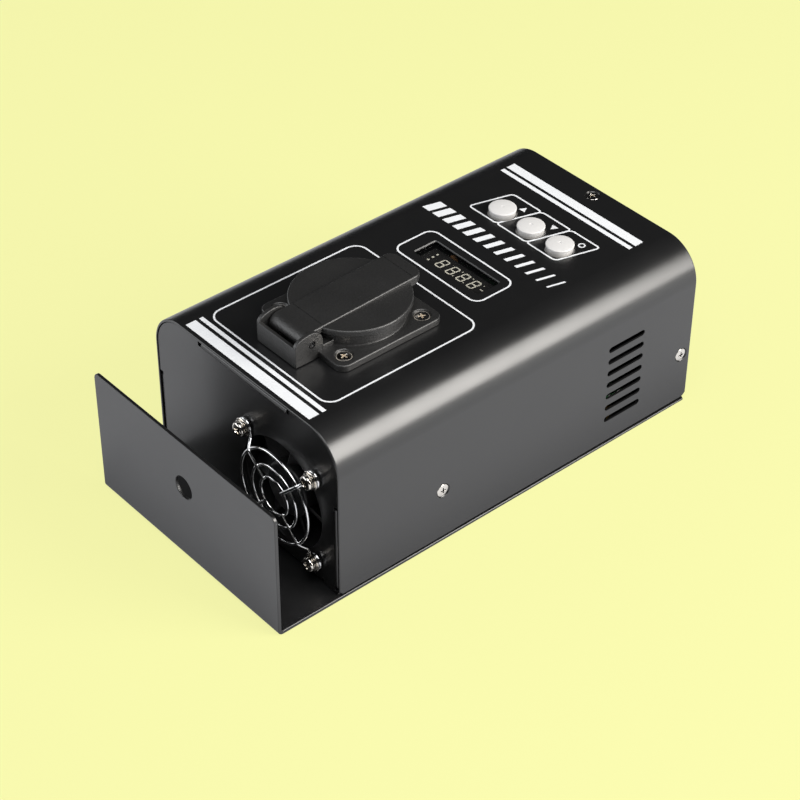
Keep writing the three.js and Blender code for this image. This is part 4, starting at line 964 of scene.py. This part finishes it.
def makeOutletBody():
    o, h, s = outlet, hinge, outletScrew
    flangeTop, neck, top, recess = o["flangeTop"], o["neck"], o["collarTop"], o["recess"]
    flange = addPlate("z", 0.3, flangeTop, (0, 0), o["flange"], o["flange"], o["corner"], 10)
    roundEdges(flange, 0.55, 3, lambda place, way: place.z > flangeTop - 0.05)
    collar = turnPiece("z", [
        (0, 0.4), (neck + 0.9, 0.4), (neck + 0.9, flangeTop + 0.05), (neck + 0.35, flangeTop + 0.2),
        (neck, flangeTop + 0.75), (neck, top - 0.3), (neck - 0.12, top - 0.08), (neck - 0.3, top), (0, top)],
        sides=128)
    floor = top - o["recessDepth"]
    under = floor - o["floor"]
    outer, rear, lowest = recess + o["wall"], o["rear"], under - o["rearDepth"]
    cup = turnPiece("z", [
        (0, lowest), (rear - 0.6, lowest), (rear, lowest + 0.6), (rear, under), (outer - 0.5, under),
        (outer, under + 0.5), (outer, 1), (0, 1)], sides=96)
    weld(flange, collar, cup, *makeHingeBlock())
    cut(flange, turnPiece("z", [
        (0, floor), (recess - 0.8, floor), (recess, floor + 0.8), (recess, top - 0.5),
        (recess + 0.6, top + 0.1), (recess + 0.6, 12), (0, 12)], sides=96))
    tools = []
    for side in (-1, 1):
        tools.append(turnPiece("z", [
            (0, under - 14), (3.4, under - 14), (3.4, under - 0.1), (2.7, under - 0.1), (2.7, floor + 1),
            (0, floor + 1)], (0, side * o["contacts"]), sides=32))
        low, high = sorted(side * y for y in o["earthSlot"])
        tools.append(addBlock((low, -3, -30), (high, 3, floor + 1)))
    seat, head, shank = flangeTop - s["sink"], s["head"], s["shank"] + 0.3
    for x, y in fourCorners:
        tools.append(turnPiece("z", [
            (0, seat + 2), (head + 0.62, seat + 2), (head + 0.62, flangeTop), (head + 0.3, flangeTop - 0.3),
            (head + 0.3, seat - 0.1), (shank, seat - s["headDepth"] - 0.3), (shank, -1), (0, -1)],
            (x * o["screws"], y * o["screws"])))
    cut(flange, *tools)
    cut(flange, addDrum("y", -14, 14, (h["x"], h["z"]), h["pin"] + 0.3))
    for side in (-1, 1):
        near, far = sorted((side * (recess - 2.4), side * (recess + 1)))
        weld(flange, bevelSharp(addBlock((-1.5, near, floor - 0.5), (1.5, far, 6.8)), 0.3, 2))
    softenEdges(moved(flange, toOutlet), 0, smooth=38)
    finishPiece(flange, "outletBody", outletFinish, "outlet_plastic", "outlet_body")


def makeLid():
    p, h, o = lid, hinge, outlet
    x, z = h["x"], h["z"]
    under, top, collar, rim, half = p["under"], p["top"], o["collar"], p["rim"], p["half"]
    inner, low = rim - p["rimSheet"], under - p["rimDepth"]
    disc = turnPiece("z", [
        (0, under), (inner, under), (inner, low + 0.2), (inner + 0.2, low), (rim - 0.2, low),
        (rim, low + 0.2), (rim, under), (collar - 0.15, under), (collar, under + 0.15),
        *arcPoints(collar - 0.65, top - 0.65, 0.65, 0, 90, 4), (0, top)], sides=128)
    side = [*arcPoints(x, z, p["barrel"], 180, 90, 12), (p["reach"], p["end"]),
            (p["reach"], p["end"] - p["tabSheet"]), (collar, under), (x + p["barrel"], under),
            *arcPoints(x, z, p["barrel"], 0, -180, 20)[:-1]]
    arm = addOutline("y", -half, half, side)
    roundEdges(arm, p["tabCorner"], 10, lambda place, way: abs(way.z) > 0.9
               and place.x > p["reach"] - 0.05 and abs(place.y) > half - 0.05)
    weld(disc, bevelSharp(arm, 0.55, 4))
    # Two fine seams across the strap, where its upper side has risen from the barrel's 11.4
    for seam in p["seams"]:
        rise = 11.4 + (seam - x) * (p["end"] - 11.4) / (p["reach"] - x)
        cut(disc, addBlock((seam - 0.16, -half + 1.2, rise - 0.22), (seam + 0.16, half + 1, rise + 2)))
    cut(disc, addDrum("y", -14, 14, (x, z), p["bore"], 40))
    cut(disc, addDrum("y", -p["pocket"], p["pocket"], (x, z), p["pocketRadius"], 40))
    cut(disc, addBlock((x - 6, -p["pocket"], z - 6), (x + p["barrel"] + 0.3, p["pocket"], z)))
    softenEdges(moved(disc, toOutlet), 0, smooth=38)
    finishPiece(disc, "outletLid", outletFinish, "outlet_plastic", "outlet_lid", body="lid")


spring = {"mean": 2.15, "turns": 5, "pitch": 1.17, "leg": 4.6, "wire": 0.35, "way": -15}


def makePinAndSpring():
    h, g = hinge, spring
    reach = h["half"] - 0.15
    head = [(h["pin"], reach - 0.2), (1.12, reach), (0.75, reach - 0.05), (0.55, reach - 0.35),
            (0, reach - 0.35)]
    foot = [(radius, -y) for radius, y in reversed(head)]
    pin = turnPiece("y", foot + head, (h["x"], h["z"]), sides=32)
    softenEdges(moved(pin, toOutlet), 0)
    finishPiece(pin, "lidPin", pinFinish, "nickel", "lid_pin")
    way = math.radians(g["way"])
    points = []
    mean, turns, length = g["mean"], g["turns"], g["turns"] * g["pitch"]
    steps = 14 * turns
    for i in range(steps + 1):
        angle = way - math.pi / 2 - (1 - i / steps) * turns * 2 * math.pi
        points.append((h["x"] + mean * math.cos(angle), (i / steps - 0.5) * length,
                       h["z"] + mean * math.sin(angle)))
    end = points[-1]
    for share in (0.35, 0.7, 1.0):
        run = share * g["leg"]
        points.append((end[0] + run * math.cos(way), end[1], end[2] + run * math.sin(way)))
    coil = addWire(points, g["wire"], sides=2)
    softenEdges(moved(coil, toOutlet), 0)
    finishPiece(coil, "lidSpring", springFinish, "zinc", "lid_spring")


def makeOutletScrews():
    s, o = outletScrew, outlet
    master = sunkScrew(s)
    for i, ((x, y), turn) in enumerate(zip(fourCorners, (12, -31, 64, 7))):
        placeScrew(master, f"outletScrew.{i + 1}", f"outlet_screw_{i + 1}",
                   (o["x"] + x * o["screws"], y * o["screws"], cover["top"] + o["flangeTop"] - s["sink"]),
                   (0, 0, turn), outletScrewFinish)
    drop(master)


makeOutletBody()
makeLid()
makePinAndSpring()
makeOutletScrews()
print("outlet made")

# Fan end: the guard of welded wire, its four screws, the fan's frame and its rotor
guard = {"wire": 0.7, "rings": (19.805, 13.048, 7.922), "standOff": 3.6, "eye": 3.1, "joggle": 5.6}
fanScrew = {"head": 3.0, "headHeight": 1.9, "washer": 3.9, "washerSheet": 0.6, "spring": 3.3,
            "springSheet": 0.8, "shank": 1.85, "length": 15}
rotor = {"hub": 11.5, "length": 10.5, "blades": 7, "chord": 10.5, "sheet": 1.1, "tip": 22.6, "root": 50,
         "tipPitch": 32}
toFan = (gap, fan["y"], fan["z"])
toFrame = (1.8, fan["y"], fan["z"])  # behind the end wall


def makeGuard():
    g = guard
    wire = g["wire"]
    rings = [addRing(radius, wire, (96, 12), location=(-g["standOff"], 0, 0), rotation=(0, math.pi / 2, 0))
             for radius in g["rings"]]
    corner = fan["screws"] * math.sqrt(2)
    seat = -wire - 0.3
    front = -g["standOff"] - wire * 0.97
    inboard = corner - g["joggle"] - g["standOff"]
    innermost = g["rings"][-1]
    eye = [(seat, a, b) for a, b in arcPoints(corner, 0, g["eye"], -150, 150, 16)]
    path = eye + [(seat, corner - g["eye"] - 1.2, 0.3), (seat, corner - g["joggle"] + 0.6, 0.05),
                  (seat * 0.6 + front * 0.4, corner - g["joggle"] - 0.8, 0),
                  (front, inboard + 0.6, 0), (front, inboard - 1, 0), (front, (inboard + innermost) / 2, 0),
                  (front, innermost + 1, 0), (front, innermost - wire, 0)]
    leg = addWire(path, wire, sides=4)
    legs = [copied(leg, turn=(45 + 90 * i, 0, 0)) for i in range(4)]
    drop(leg)
    whole = moved(joinAll(rings + legs), toFan)
    softenEdges(whole, 0, smooth=60)
    finishPiece(whole, "fanGuard", chromeFinish, "chrome", "fan_guard")


def makeFanScrews():
    s = fanScrew
    washer, ring, head, shank, tip = s["washer"], s["spring"], s["head"], s["shank"], -s["length"]
    low, high = s["washerSheet"], s["washerSheet"] + s["springSheet"]
    top = high + s["headHeight"]
    screw = turnPiece("z", [
        (0, tip), (shank - 0.35, tip), (shank, tip + 0.35), (shank, 0),
        (washer - 0.15, 0), (washer, 0.15), (washer, low - 0.18), (washer - 0.18, low),
        (ring - 0.25, low + 0.02), (ring, low + 0.25), (ring, high - 0.2), (ring - 0.22, high - 0.02),
        (head - 0.3, high), (head, high + 0.22), (head, high + 0.7),
        *arcPoints(1.8, high + 0.72, 1.2, 12, 82, 5, s["headHeight"] - 0.84), (1.3, top - 0.05), (0, top)])
    cut(screw, moved(crossTool(head * 0.62, head * 0.17, 1.6), (0, 0, top - 0.12)))
    # The slanted split in the spring washer
    split = moved(addBlock((0, -0.22, -0.8), (6, 0.22, 0.8)), (1.95, 0, low + s["springSheet"] / 2),
                  (38, 0, 0))
    cut(split, addBlock((-10, -5, -5), (10, 5, low + 0.03)), addBlock((-10, -5, high - 0.03), (10, 5, 9)))
    cut(screw, split)
    softenEdges(screw, 0.05, 2, 38, 40)
    for i, ((y, z), turn) in enumerate(zip(fourCorners, (15, 70, 38, 58))):
        turned = copied(screw, turn=(0, 0, turn))
        moved(turned, (gap - 2, fan["y"] + y * fan["screws"], fan["z"] + z * fan["screws"]), (0, -90, 0))
        finishPiece(turned, f"fanScrew.{i + 1}", screwFinish, "screw_steel", f"fan_screw_{i + 1}")
    drop(screw)


def makeFanFrame():
    duct, depth, size, plate, motor = (fan[key] for key in ("duct", "depth", "size", "plate", "motor"))
    plates = [bevelSharp(addPlate("x", a, b, (0, 0), size, size, 4), 0.3, 2)
              for a, b in ((0, plate), (depth - plate, depth))]
    body = addDrum("x", 0.1, depth - 0.1, (0, 0), duct + fan["tube"], 96)
    weld(body, *plates)
    cut(body, turnPiece("x", [(0, -1), (duct + 0.3, -1), (duct + 0.3, 0), (duct, 0.9), (duct, depth - 0.9),
                              (duct + 0.3, depth), (duct + 0.3, depth + 1), (0, depth + 1)], sides=96))
    cut(body, *[addDrum("x", -1, depth + 1, (y * fan["screws"], z * fan["screws"]), 2.2, 24)
                for y, z in fourCorners])
    struts = [moved(bevelSharp(addBlock((depth - 2.4, 0, -1.7), (depth - 0.1, duct + 0.8, 1.7)), 0.4, 2),
                    turn=(45 + 90 * i, 0, 0)) for i in range(4)]
    cup = turnPiece("x", [(0, depth - 2.5), (motor - 0.4, depth - 2.5), (motor, depth - 2.1),
                          (motor, depth - 0.3), (motor - 0.3, depth), (0, depth)], sides=64)
    weld(body, *struts, cup, addDrum("x", 7.75, depth - 2, (0, 0), 3))
    cut(body, addDrum("x", 0, 13.75, (0, 0), 1.3, 24))
    softenEdges(moved(body, toFrame), 0, smooth=38)
    finishPiece(body, "fanFrame", fanFinish, "fan_plastic", "fan_frame")


def makeRotor():
    r = rotor
    radius, length, inside = r["hub"], r["length"], r["hub"] - 1.2
    hub = turnPiece("x", [
        (0, 0.3), (radius - 1.4, 0.3), (radius - 0.5, 0.6), (radius - 0.1, 1.2), (radius, 1.9),
        (radius, 0.3 + length), (inside, 0.3 + length), (inside, 2.7), (0, 2.7)], sides=72)
    span = r["tip"] - radius + 1.0
    deselect()
    # One blade: a flat grid out along Z, turned a little more at each station toward the hub
    bpy.ops.mesh.primitive_grid_add(x_subdivisions=8, y_subdivisions=8, size=1)
    blade = bpy.context.object
    blade.scale = (r["chord"], span, 1)
    applyPlace(blade)
    moved(blade, (0, span / 2 + radius - 1.0, 0))
    stations = sorted({round(v.co.y, 4) for v in blade.data.vertices})
    for station in stations:
        share = (station - stations[0]) / (stations[-1] - stations[0])
        pitch = r["root"] + (r["tipPitch"] - r["root"]) * share
        pick(blade, "VERT", lambda place, _: abs(place.y - station) < 0.01)
        bpy.ops.transform.translate(value=(0.8 * share, 0, 0))
        bpy.ops.transform.rotate(value=math.radians(90 - pitch), orient_axis="Y",
                                 center_override=(0, station, 0))
        leaveEdit()
    for corner in blade.data.vertices:
        across = corner.co.z
        reach = max(math.hypot(corner.co.y, across), 0.001)
        corner.co.y = corner.co.y * corner.co.y / reach
        corner.co.z = across * corner.co.y / reach
        corner.co.x += 0.5 - 0.9 * (across / r["chord"] * 2) ** 2 * 0.5
    applyModifier(blade, "SOLIDIFY", thickness=r["sheet"], offset=0)
    bevelSharp(blade, 0.25, 2, 50)
    moved(blade, (0.3 + length / 2, 0, 0))
    blades = [copied(blade, turn=(360 / r["blades"] * i, 0, 0)) for i in range(r["blades"])]
    drop(blade)
    whole = moved(joinAll([hub, *blades, addDrum("x", 2, 12.5, (0, 0), 1, 24)]), toFrame)
    softenEdges(whole, 0, smooth=40)
    finishPiece(whole, "fanRotor", fanFinish, "fan_plastic", "fan_rotor", body="rotor")


makeGuard()
makeFanScrews()
makeFanFrame()
makeRotor()
print("fan end made")


# Panel pieces: button caps, display with its digits, and the pane over it
def makeButtons():
    b = buttons
    rise, edge = b["rise"], 0.5
    skirt, brim, rim = b["radius"] - 0.3, b["radius"] + 1, b["radius"] - 0.02
    cap = turnPiece("z", [
        (0, -5.82), (1.9, -5.82), (1.9, -2.3), (brim, -2.3), (6.9, -2.15), (6.9, -1.45), (brim, -1.3),
        (skirt, -1.3), (skirt - 0.12, -1.15), (skirt - 0.06, 0.1), (rim, rise - 0.32 - edge),
        *arcPoints(rim - edge, rise - 0.32 - edge, edge, 12, 84, 6),
        (4.3, rise - 0.17), (3.0, rise - 0.07), (1.9, rise - 0.02), (0.85, rise), (0.7, rise - 0.01),
        (0.5, rise - 0.14), (0, rise - 0.17)], sides=72)
    for i, y in enumerate(b["y"]):
        twin = softenEdges(copied(cap, (b["x"], y, cover["top"])), 0, smooth=50)
        finishPiece(twin, f"buttonCap.{i + 1}", buttonFinish, "button_white", f"button_cap_{i + 1}",
                    body=f"button_{i + 1}")
    drop(cap)


display = {"x": (98.3, 110.6), "y": (-20.2, 17.6), "foot": 64.9, "ledge": 71.1, "top": 71.9, "bezel": 1.0}
digits = {"x": 104.5, "y": (-11.35, -5.25, 0.85, 6.95), "height": 5.2, "width": 2.9, "stroke": 0.6,
          "slant": 0.13, "rise": 0.03}
paneBox = {"low": (96.2, -22.3, 72.7), "high": (112.7, 19.7, 73.7)}


def makeDisplay():
    d = display
    left, right = d["x"]
    block = addBlock((left, d["y"][0], d["foot"]), (right, d["y"][1], d["top"]))
    pick(block, "FACE", lambda place, normal: normal.z > 0.9)
    bpy.ops.mesh.inset(thickness=d["bezel"])
    leaveEdit()
    shiftCorners(block, lambda place: place.z > d["top"] - 0.01 and (
        abs(place.x - left) < 0.01 or abs(place.x - right) < 0.01), (0, 0, d["ledge"] - d["top"]))
    softenEdges(block, 0.12)
    finishPiece(block, "displayBody", faceFinish, "display_face", "led_display")


# One segment: a flat bar with pointed ends, lying along X
def addSegment(length, stroke):
    top = display["top"]
    bar = addBlock((-length / 2, -stroke / 2, top - 0.2), (length / 2, stroke / 2, top + digits["rise"]))
    return roundEdges(bar, stroke * 0.46, 1, lambda place, way: abs(way.z) > 0.9)


def makeDigits():
    g = digits
    half, reach, gapAt = g["height"] / 2, g["width"], 0.14
    upright = addSegment(half - gapAt, g["stroke"])
    level = moved(addSegment(reach - gapAt, g["stroke"]), turn=(0, 0, 90))
    parts = [copied(upright, (x, y, 0)) for y in (-reach / 2, reach / 2) for x in (-half / 2, half / 2)]
    parts += [copied(level, (x, 0, 0)) for x in (-half, 0, half)]
    drop(upright)
    drop(level)
    figure = joinAll(parts)
    figure.data.transform(Matrix(((1, 0, 0, 0), (-g["slant"], 1, 0, 0), (0, 0, 1, 0), (0, 0, 0, 1))))
    marks = [copied(figure, (g["x"], y, 0)) for y in g["y"]]
    drop(figure)
    z = display["top"]

    def dot(x, y, radius=0.3):
        return addDrum("z", z - 0.2, z + g["rise"], (x, y), radius, 20)
    marks += [dot(106.9, y) for y in (-14.69, -8.59, -2.49, 3.61, 3.65)]
    marks += [dot(102.3, y, 0.27) for y in (-1.6, -7.6)]
    marks += [dot(x, 12.8, 0.55) for x in (102.3, 104.75, 107.2)]
    dash = moved(addSegment(1.9, 0.5), turn=(0, 0, 90))
    marks.append(moved(dash, (104.3, -15.9, 0)))
    finishPiece(softenEdges(joinAll(marks), 0), "displaySegments", segmentFinish, "display_face")


def makePane():
    pane = softenEdges(addBlock(paneBox["low"], paneBox["high"]), 0.1)
    finishPiece(pane, "displayPane", paneFinish, "smoked_pane", "display_window")


# A small brown disc capacitor that stands beside the display
def makeDiscCapacitor():
    disc = turnPiece("x", [(0, 110.95), (1.6, 111.0), (2.2, 111.4), (2.4, 112.1), (2.2, 112.8), (1.6, 113.2),
                           (0, 113.25)], (8.6, 69.0), sides=40)
    legs = [addWire([(112.1, y, 67), (112.1, y, 65.8), (112.1, y, 64.62)], 0.28) for y in (6.6, 10.6)]
    finishPiece(softenEdges(joinAll([disc, *legs]), 0), "discCapacitor", discFinish, "winding")


makeButtons()
makeDisplay()
makeDigits()
makePane()
makeDiscCapacitor()
print("panel pieces made")


# Connector end. Pieces are made as seen from outside, with X 0 at the wall and X into the case,
# Y to the right, and are turned to the far end.
def finishAtEnd(piece, at, name, finish, slotName, *stoodFor, body="housing", edge=(0,)):
    moved(moved(piece, turn=(0, 0, 180)), (farWall, *at))
    softenEdges(piece, *edge)
    finishPiece(piece, name, finish, slotName, *stoodFor, body=body)


def hollowScrew(radius, depth, turn):
    screw = turnPiece("x", [(0, -0.02), (radius * 0.75, 0.0), (radius - 0.12, 0.06), (radius, 0.2),
                            (radius * 0.5, depth), (radius * 0.5, depth + 4), (0, depth + 4)], sides=40)
    cut(screw, moved(crossTool(radius * 0.6, radius * 0.13, depth * 0.8), turn=(0, -90, 0)))
    return moved(screw, turn=(turn, 0, 0))


def makeInlet():
    flange = addPlate("x", -2.8, -0.3, (0, 0), *inlet["flange"], 2.5)
    roundEdges(flange, 0.6, 3, lambda place, way: place.x < -2.75)
    weld(flange, addPlate("x", -1, 21, (0, 0), *inlet["body"], 0.8, 3))
    cut(flange, addPlate("x", -4, -2.3, (0, 0), *inlet["rim"], 2.2, 6))
    cut(flange, bevelSharp(addOutline("x", -4, 14.2, inlet["mouth"]), 0.5, angle=20))
    blades = [bevelSharp(addBlock((2.2, y - 1, z - 2), (15, y + 1, z + 2)), 0.35, 2)
              for y, z in inlet["blades"]]
    at = (inlet["y"], inlet["z"])
    finishAtEnd(flange, at, "powerInlet", blackFinish, "black_plastic", "power_inlet")
    finishAtEnd(joinAll(blades), at, "inletBlades", nickelFinish, "nickel")


def makeFuse():
    at = (fuse["y"], fuse["z"])
    holder = turnPiece("x", [
        (0, 22), (5.1, 22), (5.1, -2.2), (5.3, -2.3), (7.5, -2.3), (8, -1.8), (8, -0.3), (6.2, -0.3),
        (6.2, 25.6), (5.8, 26), (0, 26)], sides=72)
    finishAtEnd(holder, at, "fuseHolder", blackFinish, "black_plastic", "fuse_holder")
    cap = turnPiece("x", [
        (0, -11.6), (5.5, -11.6), (6.1, -11.45), (6.45, -11.0), (6.6, -10.4), (6.6, -3.3), (6.2, -2.9),
        (4.6, -2.9), (4.6, 10.8), (4.2, 11.1), (0, 11.1)], sides=72)
    grooves = arcPoints(0, 0, 6.72, 0, 340, 17)
    cut(cap, *[moved(addDrum("x", -9.9, -3.6, (0, 0), 0.42, 8), (0, *groove)) for groove in grooves])
    cut(cap, addBlock((-13, -9, -0.7), (-10.1, 9, 0.7)))
    finishAtEnd(cap, at, "fuseCap", blackFinish, "black_plastic", "fuse_cap", body="cap",
                edge=(0.08, 2, 38, 38))


def makeSignalShell():
    wide, ring, bore = signal["body"], signal["ring"], signal["bore"]
    flange = addPlate("x", -2.5, -0.3, (0, 0), *signal["flange"], 3)
    roundEdges(flange, 0.35, 3, lambda place, way: place.x < -2.45)
    weld(flange, turnPiece("x", [(0, -1), (wide, -1), (wide, 20.4), (12, 21), (0, 21)], sides=80))
    cut(flange, turnPiece("x", [(0, -4), (ring, -4), (ring, -2.2), (ring - 0.5, -1.9), (0, -1.9)], sides=80))
    cut(flange, turnPiece("x", [(0, -5), (bore + 0.2, -5), (bore + 0.2, -1.95), (bore, -1.6), (bore, 14.5),
                                (0, 14.5)], sides=72))
    cut(flange, *[moved(turnPiece("x", [
        (0, -4), (2.75, -4), (2.75, -2.5), (1.5, -1.0), (1.5, 3), (0, 3)], sides=32), (0, y, z))
        for y, z in signal["screws"]])
    return flange


# One connector has pins in an open barrel, the other has sockets in a core and a latch over them
def makeSignals():
    contacts = arcPoints(0, 0, signal["contacts"], 190, 350, 2)
    for name, node, y in zip(("signalIn", "signalOut"), ("signal_in", "signal_out"), signal["y"]):
        at = (y, signal["z"])
        shell = makeSignalShell()
        if node == "signal_in":
            insert = turnPiece("x", [(0, 12.4), (9.2, 12.4), (9.66, 12.9), (9.66, 14.6), (0, 14.6)], sides=64)
            metalName, profile = "signalPins", [
                (0, 3.5), (0.5, 3.55), (0.95, 3.9), (1.2, 4.6), (1.2, 14), (0, 14)]
        else:
            cut(shell, addBlock((-6, -3.8, 7.7), (1.2, 3.8, 11.5)))
            insert = turnPiece("x", [(0, -1.3), (7.3, -1.3), (7.7, -0.9), (7.7, 14.6), (0, 14.6)], sides=64)
            cut(insert, *[addDrum("x", -3, 9.5, spot, 1.5, 28) for spot in contacts])
            cut(insert, addBlock((-3, -0.8, -8.2), (9, 0.8, -7.0)))
            metalName, profile = "signalSockets", [
                (0, 9), (1.0, 9), (1.0, -0.6), (1.15, -0.8), (1.42, -0.8), (1.42, 9.4), (0, 9.4)]
        metal = joinAll([turnPiece("x", profile, spot, sides=28) for spot in contacts])
        finishAtEnd(shell, at, name + "Shell", nickelFinish, "nickel", node, edge=(0.07, 2, 38, 36))
        finishAtEnd(metal, at, metalName, brassFinish, "brass")
        finishAtEnd(insert, at, name + "Insert", blackFinish, "black_plastic")
        for i, spot in enumerate(signal["screws"]):
            finishAtEnd(moved(hollowScrew(2.6, 1.5, 20 + 35 * i), (-2.25, *spot)), at, f"{name}Screw.{i + 1}",
                        darkScrewFinish, "screw_steel")
    tab = addOutline("y", -3.4, 3.4, [(-4.2, 9.4), (-4.2, 9.9), (-3.9, 10.6), (-3.3, 11.15), (0.9, 11.15),
                                      (0.9, 9.25), (-2.4, 9.25)])
    for i in range(3):
        cut(tab, addBlock((-3.55 + 0.9 * i, -2.6, 10.95), (-3.2 + 0.9 * i, 2.6, 12)))
    finishAtEnd(tab, at, "signalLatch", darkScrewFinish, "screw_steel", "signal_latch", body="latch",
                edge=(0.14,))


makeInlet()
makeFuse()
makeSignals()
print("connector end made")

# Inside: the pieces whose CAD shape is right keep it and get their finish
keptNodes = {
    "side_tab_1": zincFinish, "side_tab_2": zincFinish, "earth_clip_1": nickelFinish,
    "earth_clip_2": nickelFinish, "contact_sleeve_1": brassFinish, "contact_sleeve_2": brassFinish,
    "control_board": boardFinish, "main_board": boardFinish, "heat_sink": sinkFinish, "triac": switchFinish,
    "transformer": coreFinish, "capacitor": sleeveFinish, "terminal_block": terminalFinish,
}
for stem, count, finish in (("control_post", 4, zincFinish), ("board_standoff", 4, brassFinish),
                            ("tact_switch", 3, switchFinish)):
    for i in range(count):
        keptNodes[f"{stem}_{i + 1}"] = finish
for name, finish in keptNodes.items():
    nodes[name].data.materials.clear()
    nodes[name].data.materials.append(finish)

choke = {"centre": (84, 23, 17.5), "radius": 13, "core": 5.05, "loop": 5.12, "wire": 0.42, "turns": 40}


# The choke: a smooth ring under closely wound wire
def makeChoke():
    c = choke
    ring = addRing(c["radius"], c["core"], (120, 24), location=c["centre"])
    loop = addRing(c["loop"], c["wire"], (20, 6), rotation=(math.pi / 2, 0, 0))
    strands = [moved(copied(loop, (c["radius"], 0, 0)), c["centre"], (0, 0, 360 / c["turns"] * i))
               for i in range(c["turns"])]
    drop(loop)
    whole = softenEdges(joinAll([ring, *strands]), 0, smooth=60)
    finishPiece(whole, "filterChoke", copperFinish, "winding", "filter_choke")


makeChoke()
print("inside finished")

# Stage: a pale floor, plain soft lamps and a dim surround
# near is the share of brightness that the floor's painted shadow keeps close to the case
stage = {"colour": (0.965, 0.973, 0.440), "lit": (0.78, 0.785, 0.355), "own": 0.84,
         "mirror": (0.86, 0.87, 0.885), "card": (1.04, 1.05, 1.08), "cardShare": 0.6, "near": 0.62}
deselect()
bpy.ops.mesh.primitive_plane_add(size=12, location=(0, 0, -0.0002))
floor = bpy.context.object
floor.name = "floor"
floorFinish = Finish("paleFloor", (0.8, 0.8, 0.8), 0.9, Specular_IOR_Level=0.0)
ray = floorFinish.node("ShaderNodeLightPath", {}, {})
seen = Wire(floorFinish, ray.socket.node.outputs["Is Camera Ray"])
mirrored = Wire(floorFinish, ray.socket.node.outputs["Is Glossy Ray"]).larger(
    Wire(floorFinish, ray.socket.node.outputs["Is Transmission Ray"]))
# Painted shadow: mirrored in the case, and in the light it bounces, the floor is painted darker close to the
# case
alongFloor, acrossFloor, _ = floorFinish.placeFrom(78)
distance = (alongFloor.size() - 107).larger(acrossFloor.size() - 55)
clear = floorFinish.between(distance, -6, 32)
floorFinish.set("Base Color", floorFinish.blend(
    seen, floorFinish.blend(clear, tinted(stage["mirror"], stage["near"]), stage["mirror"]), stage["lit"]))
glow = floorFinish.node("ShaderNodeEmission", {}, {
    "Color": floorFinish.blend(seen, floorFinish.blend(
        clear, tinted(stage["card"], stage["near"]), stage["card"]), stage["colour"]),
    "Strength": 1.0})
mixed = floorFinish.node("ShaderNodeMixShader", {}, {
    0: (seen * stage["own"]).larger(mirrored * stage["cardShare"]),
    1: Wire(floorFinish, floorFinish.shader.outputs[0]), 2: glow})
floorFinish.tree.links.new(mixed.socket, floorFinish.tree.nodes["Material Output"].inputs["Surface"])
floor.data.materials.append(floorFinish.material)

lamps = [
    # name, place from the object in metres, width, height, watts, colour
    ("keySoftbox", (0.52, -1.0, 0.55), 0.74, 0.88, 20.6, (1.0, 0.97, 0.925)),
    ("overheadSoftbox", (-0.30, -0.44, 1.38), 1.0, 1.0, 12.3, (1.0, 1.0, 1.0)),
    ("backSoftbox", (-1.45, 1.25, 0.72), 2.4, 1.1, 19, (0.97, 0.985, 1.0)),
]
for name, place, width, height, watts, warmth in lamps:
    way = Vector(place).normalized()
    bpy.ops.object.light_add(type="AREA", location=Vector((0, 0, 0.04)) + Vector(place))
    lamp = bpy.context.object
    lamp.name = name
    lamp.rotation_euler = way.to_track_quat("Z", "Y").to_euler()
    lamp.data.shape = "RECTANGLE"
    lamp.data.size, lamp.data.size_y = width, height
    lamp.data.energy = watts
    lamp.data.color = warmth

world = bpy.data.worlds.new("dimRoom")
bpy.context.scene.world = world
world.use_nodes = True
world.node_tree.nodes["Background"].inputs["Color"].default_value = (0.013, 0.0135, 0.0145, 1)
world.node_tree.nodes["Background"].inputs["Strength"].default_value = 1.0
print("stage set")
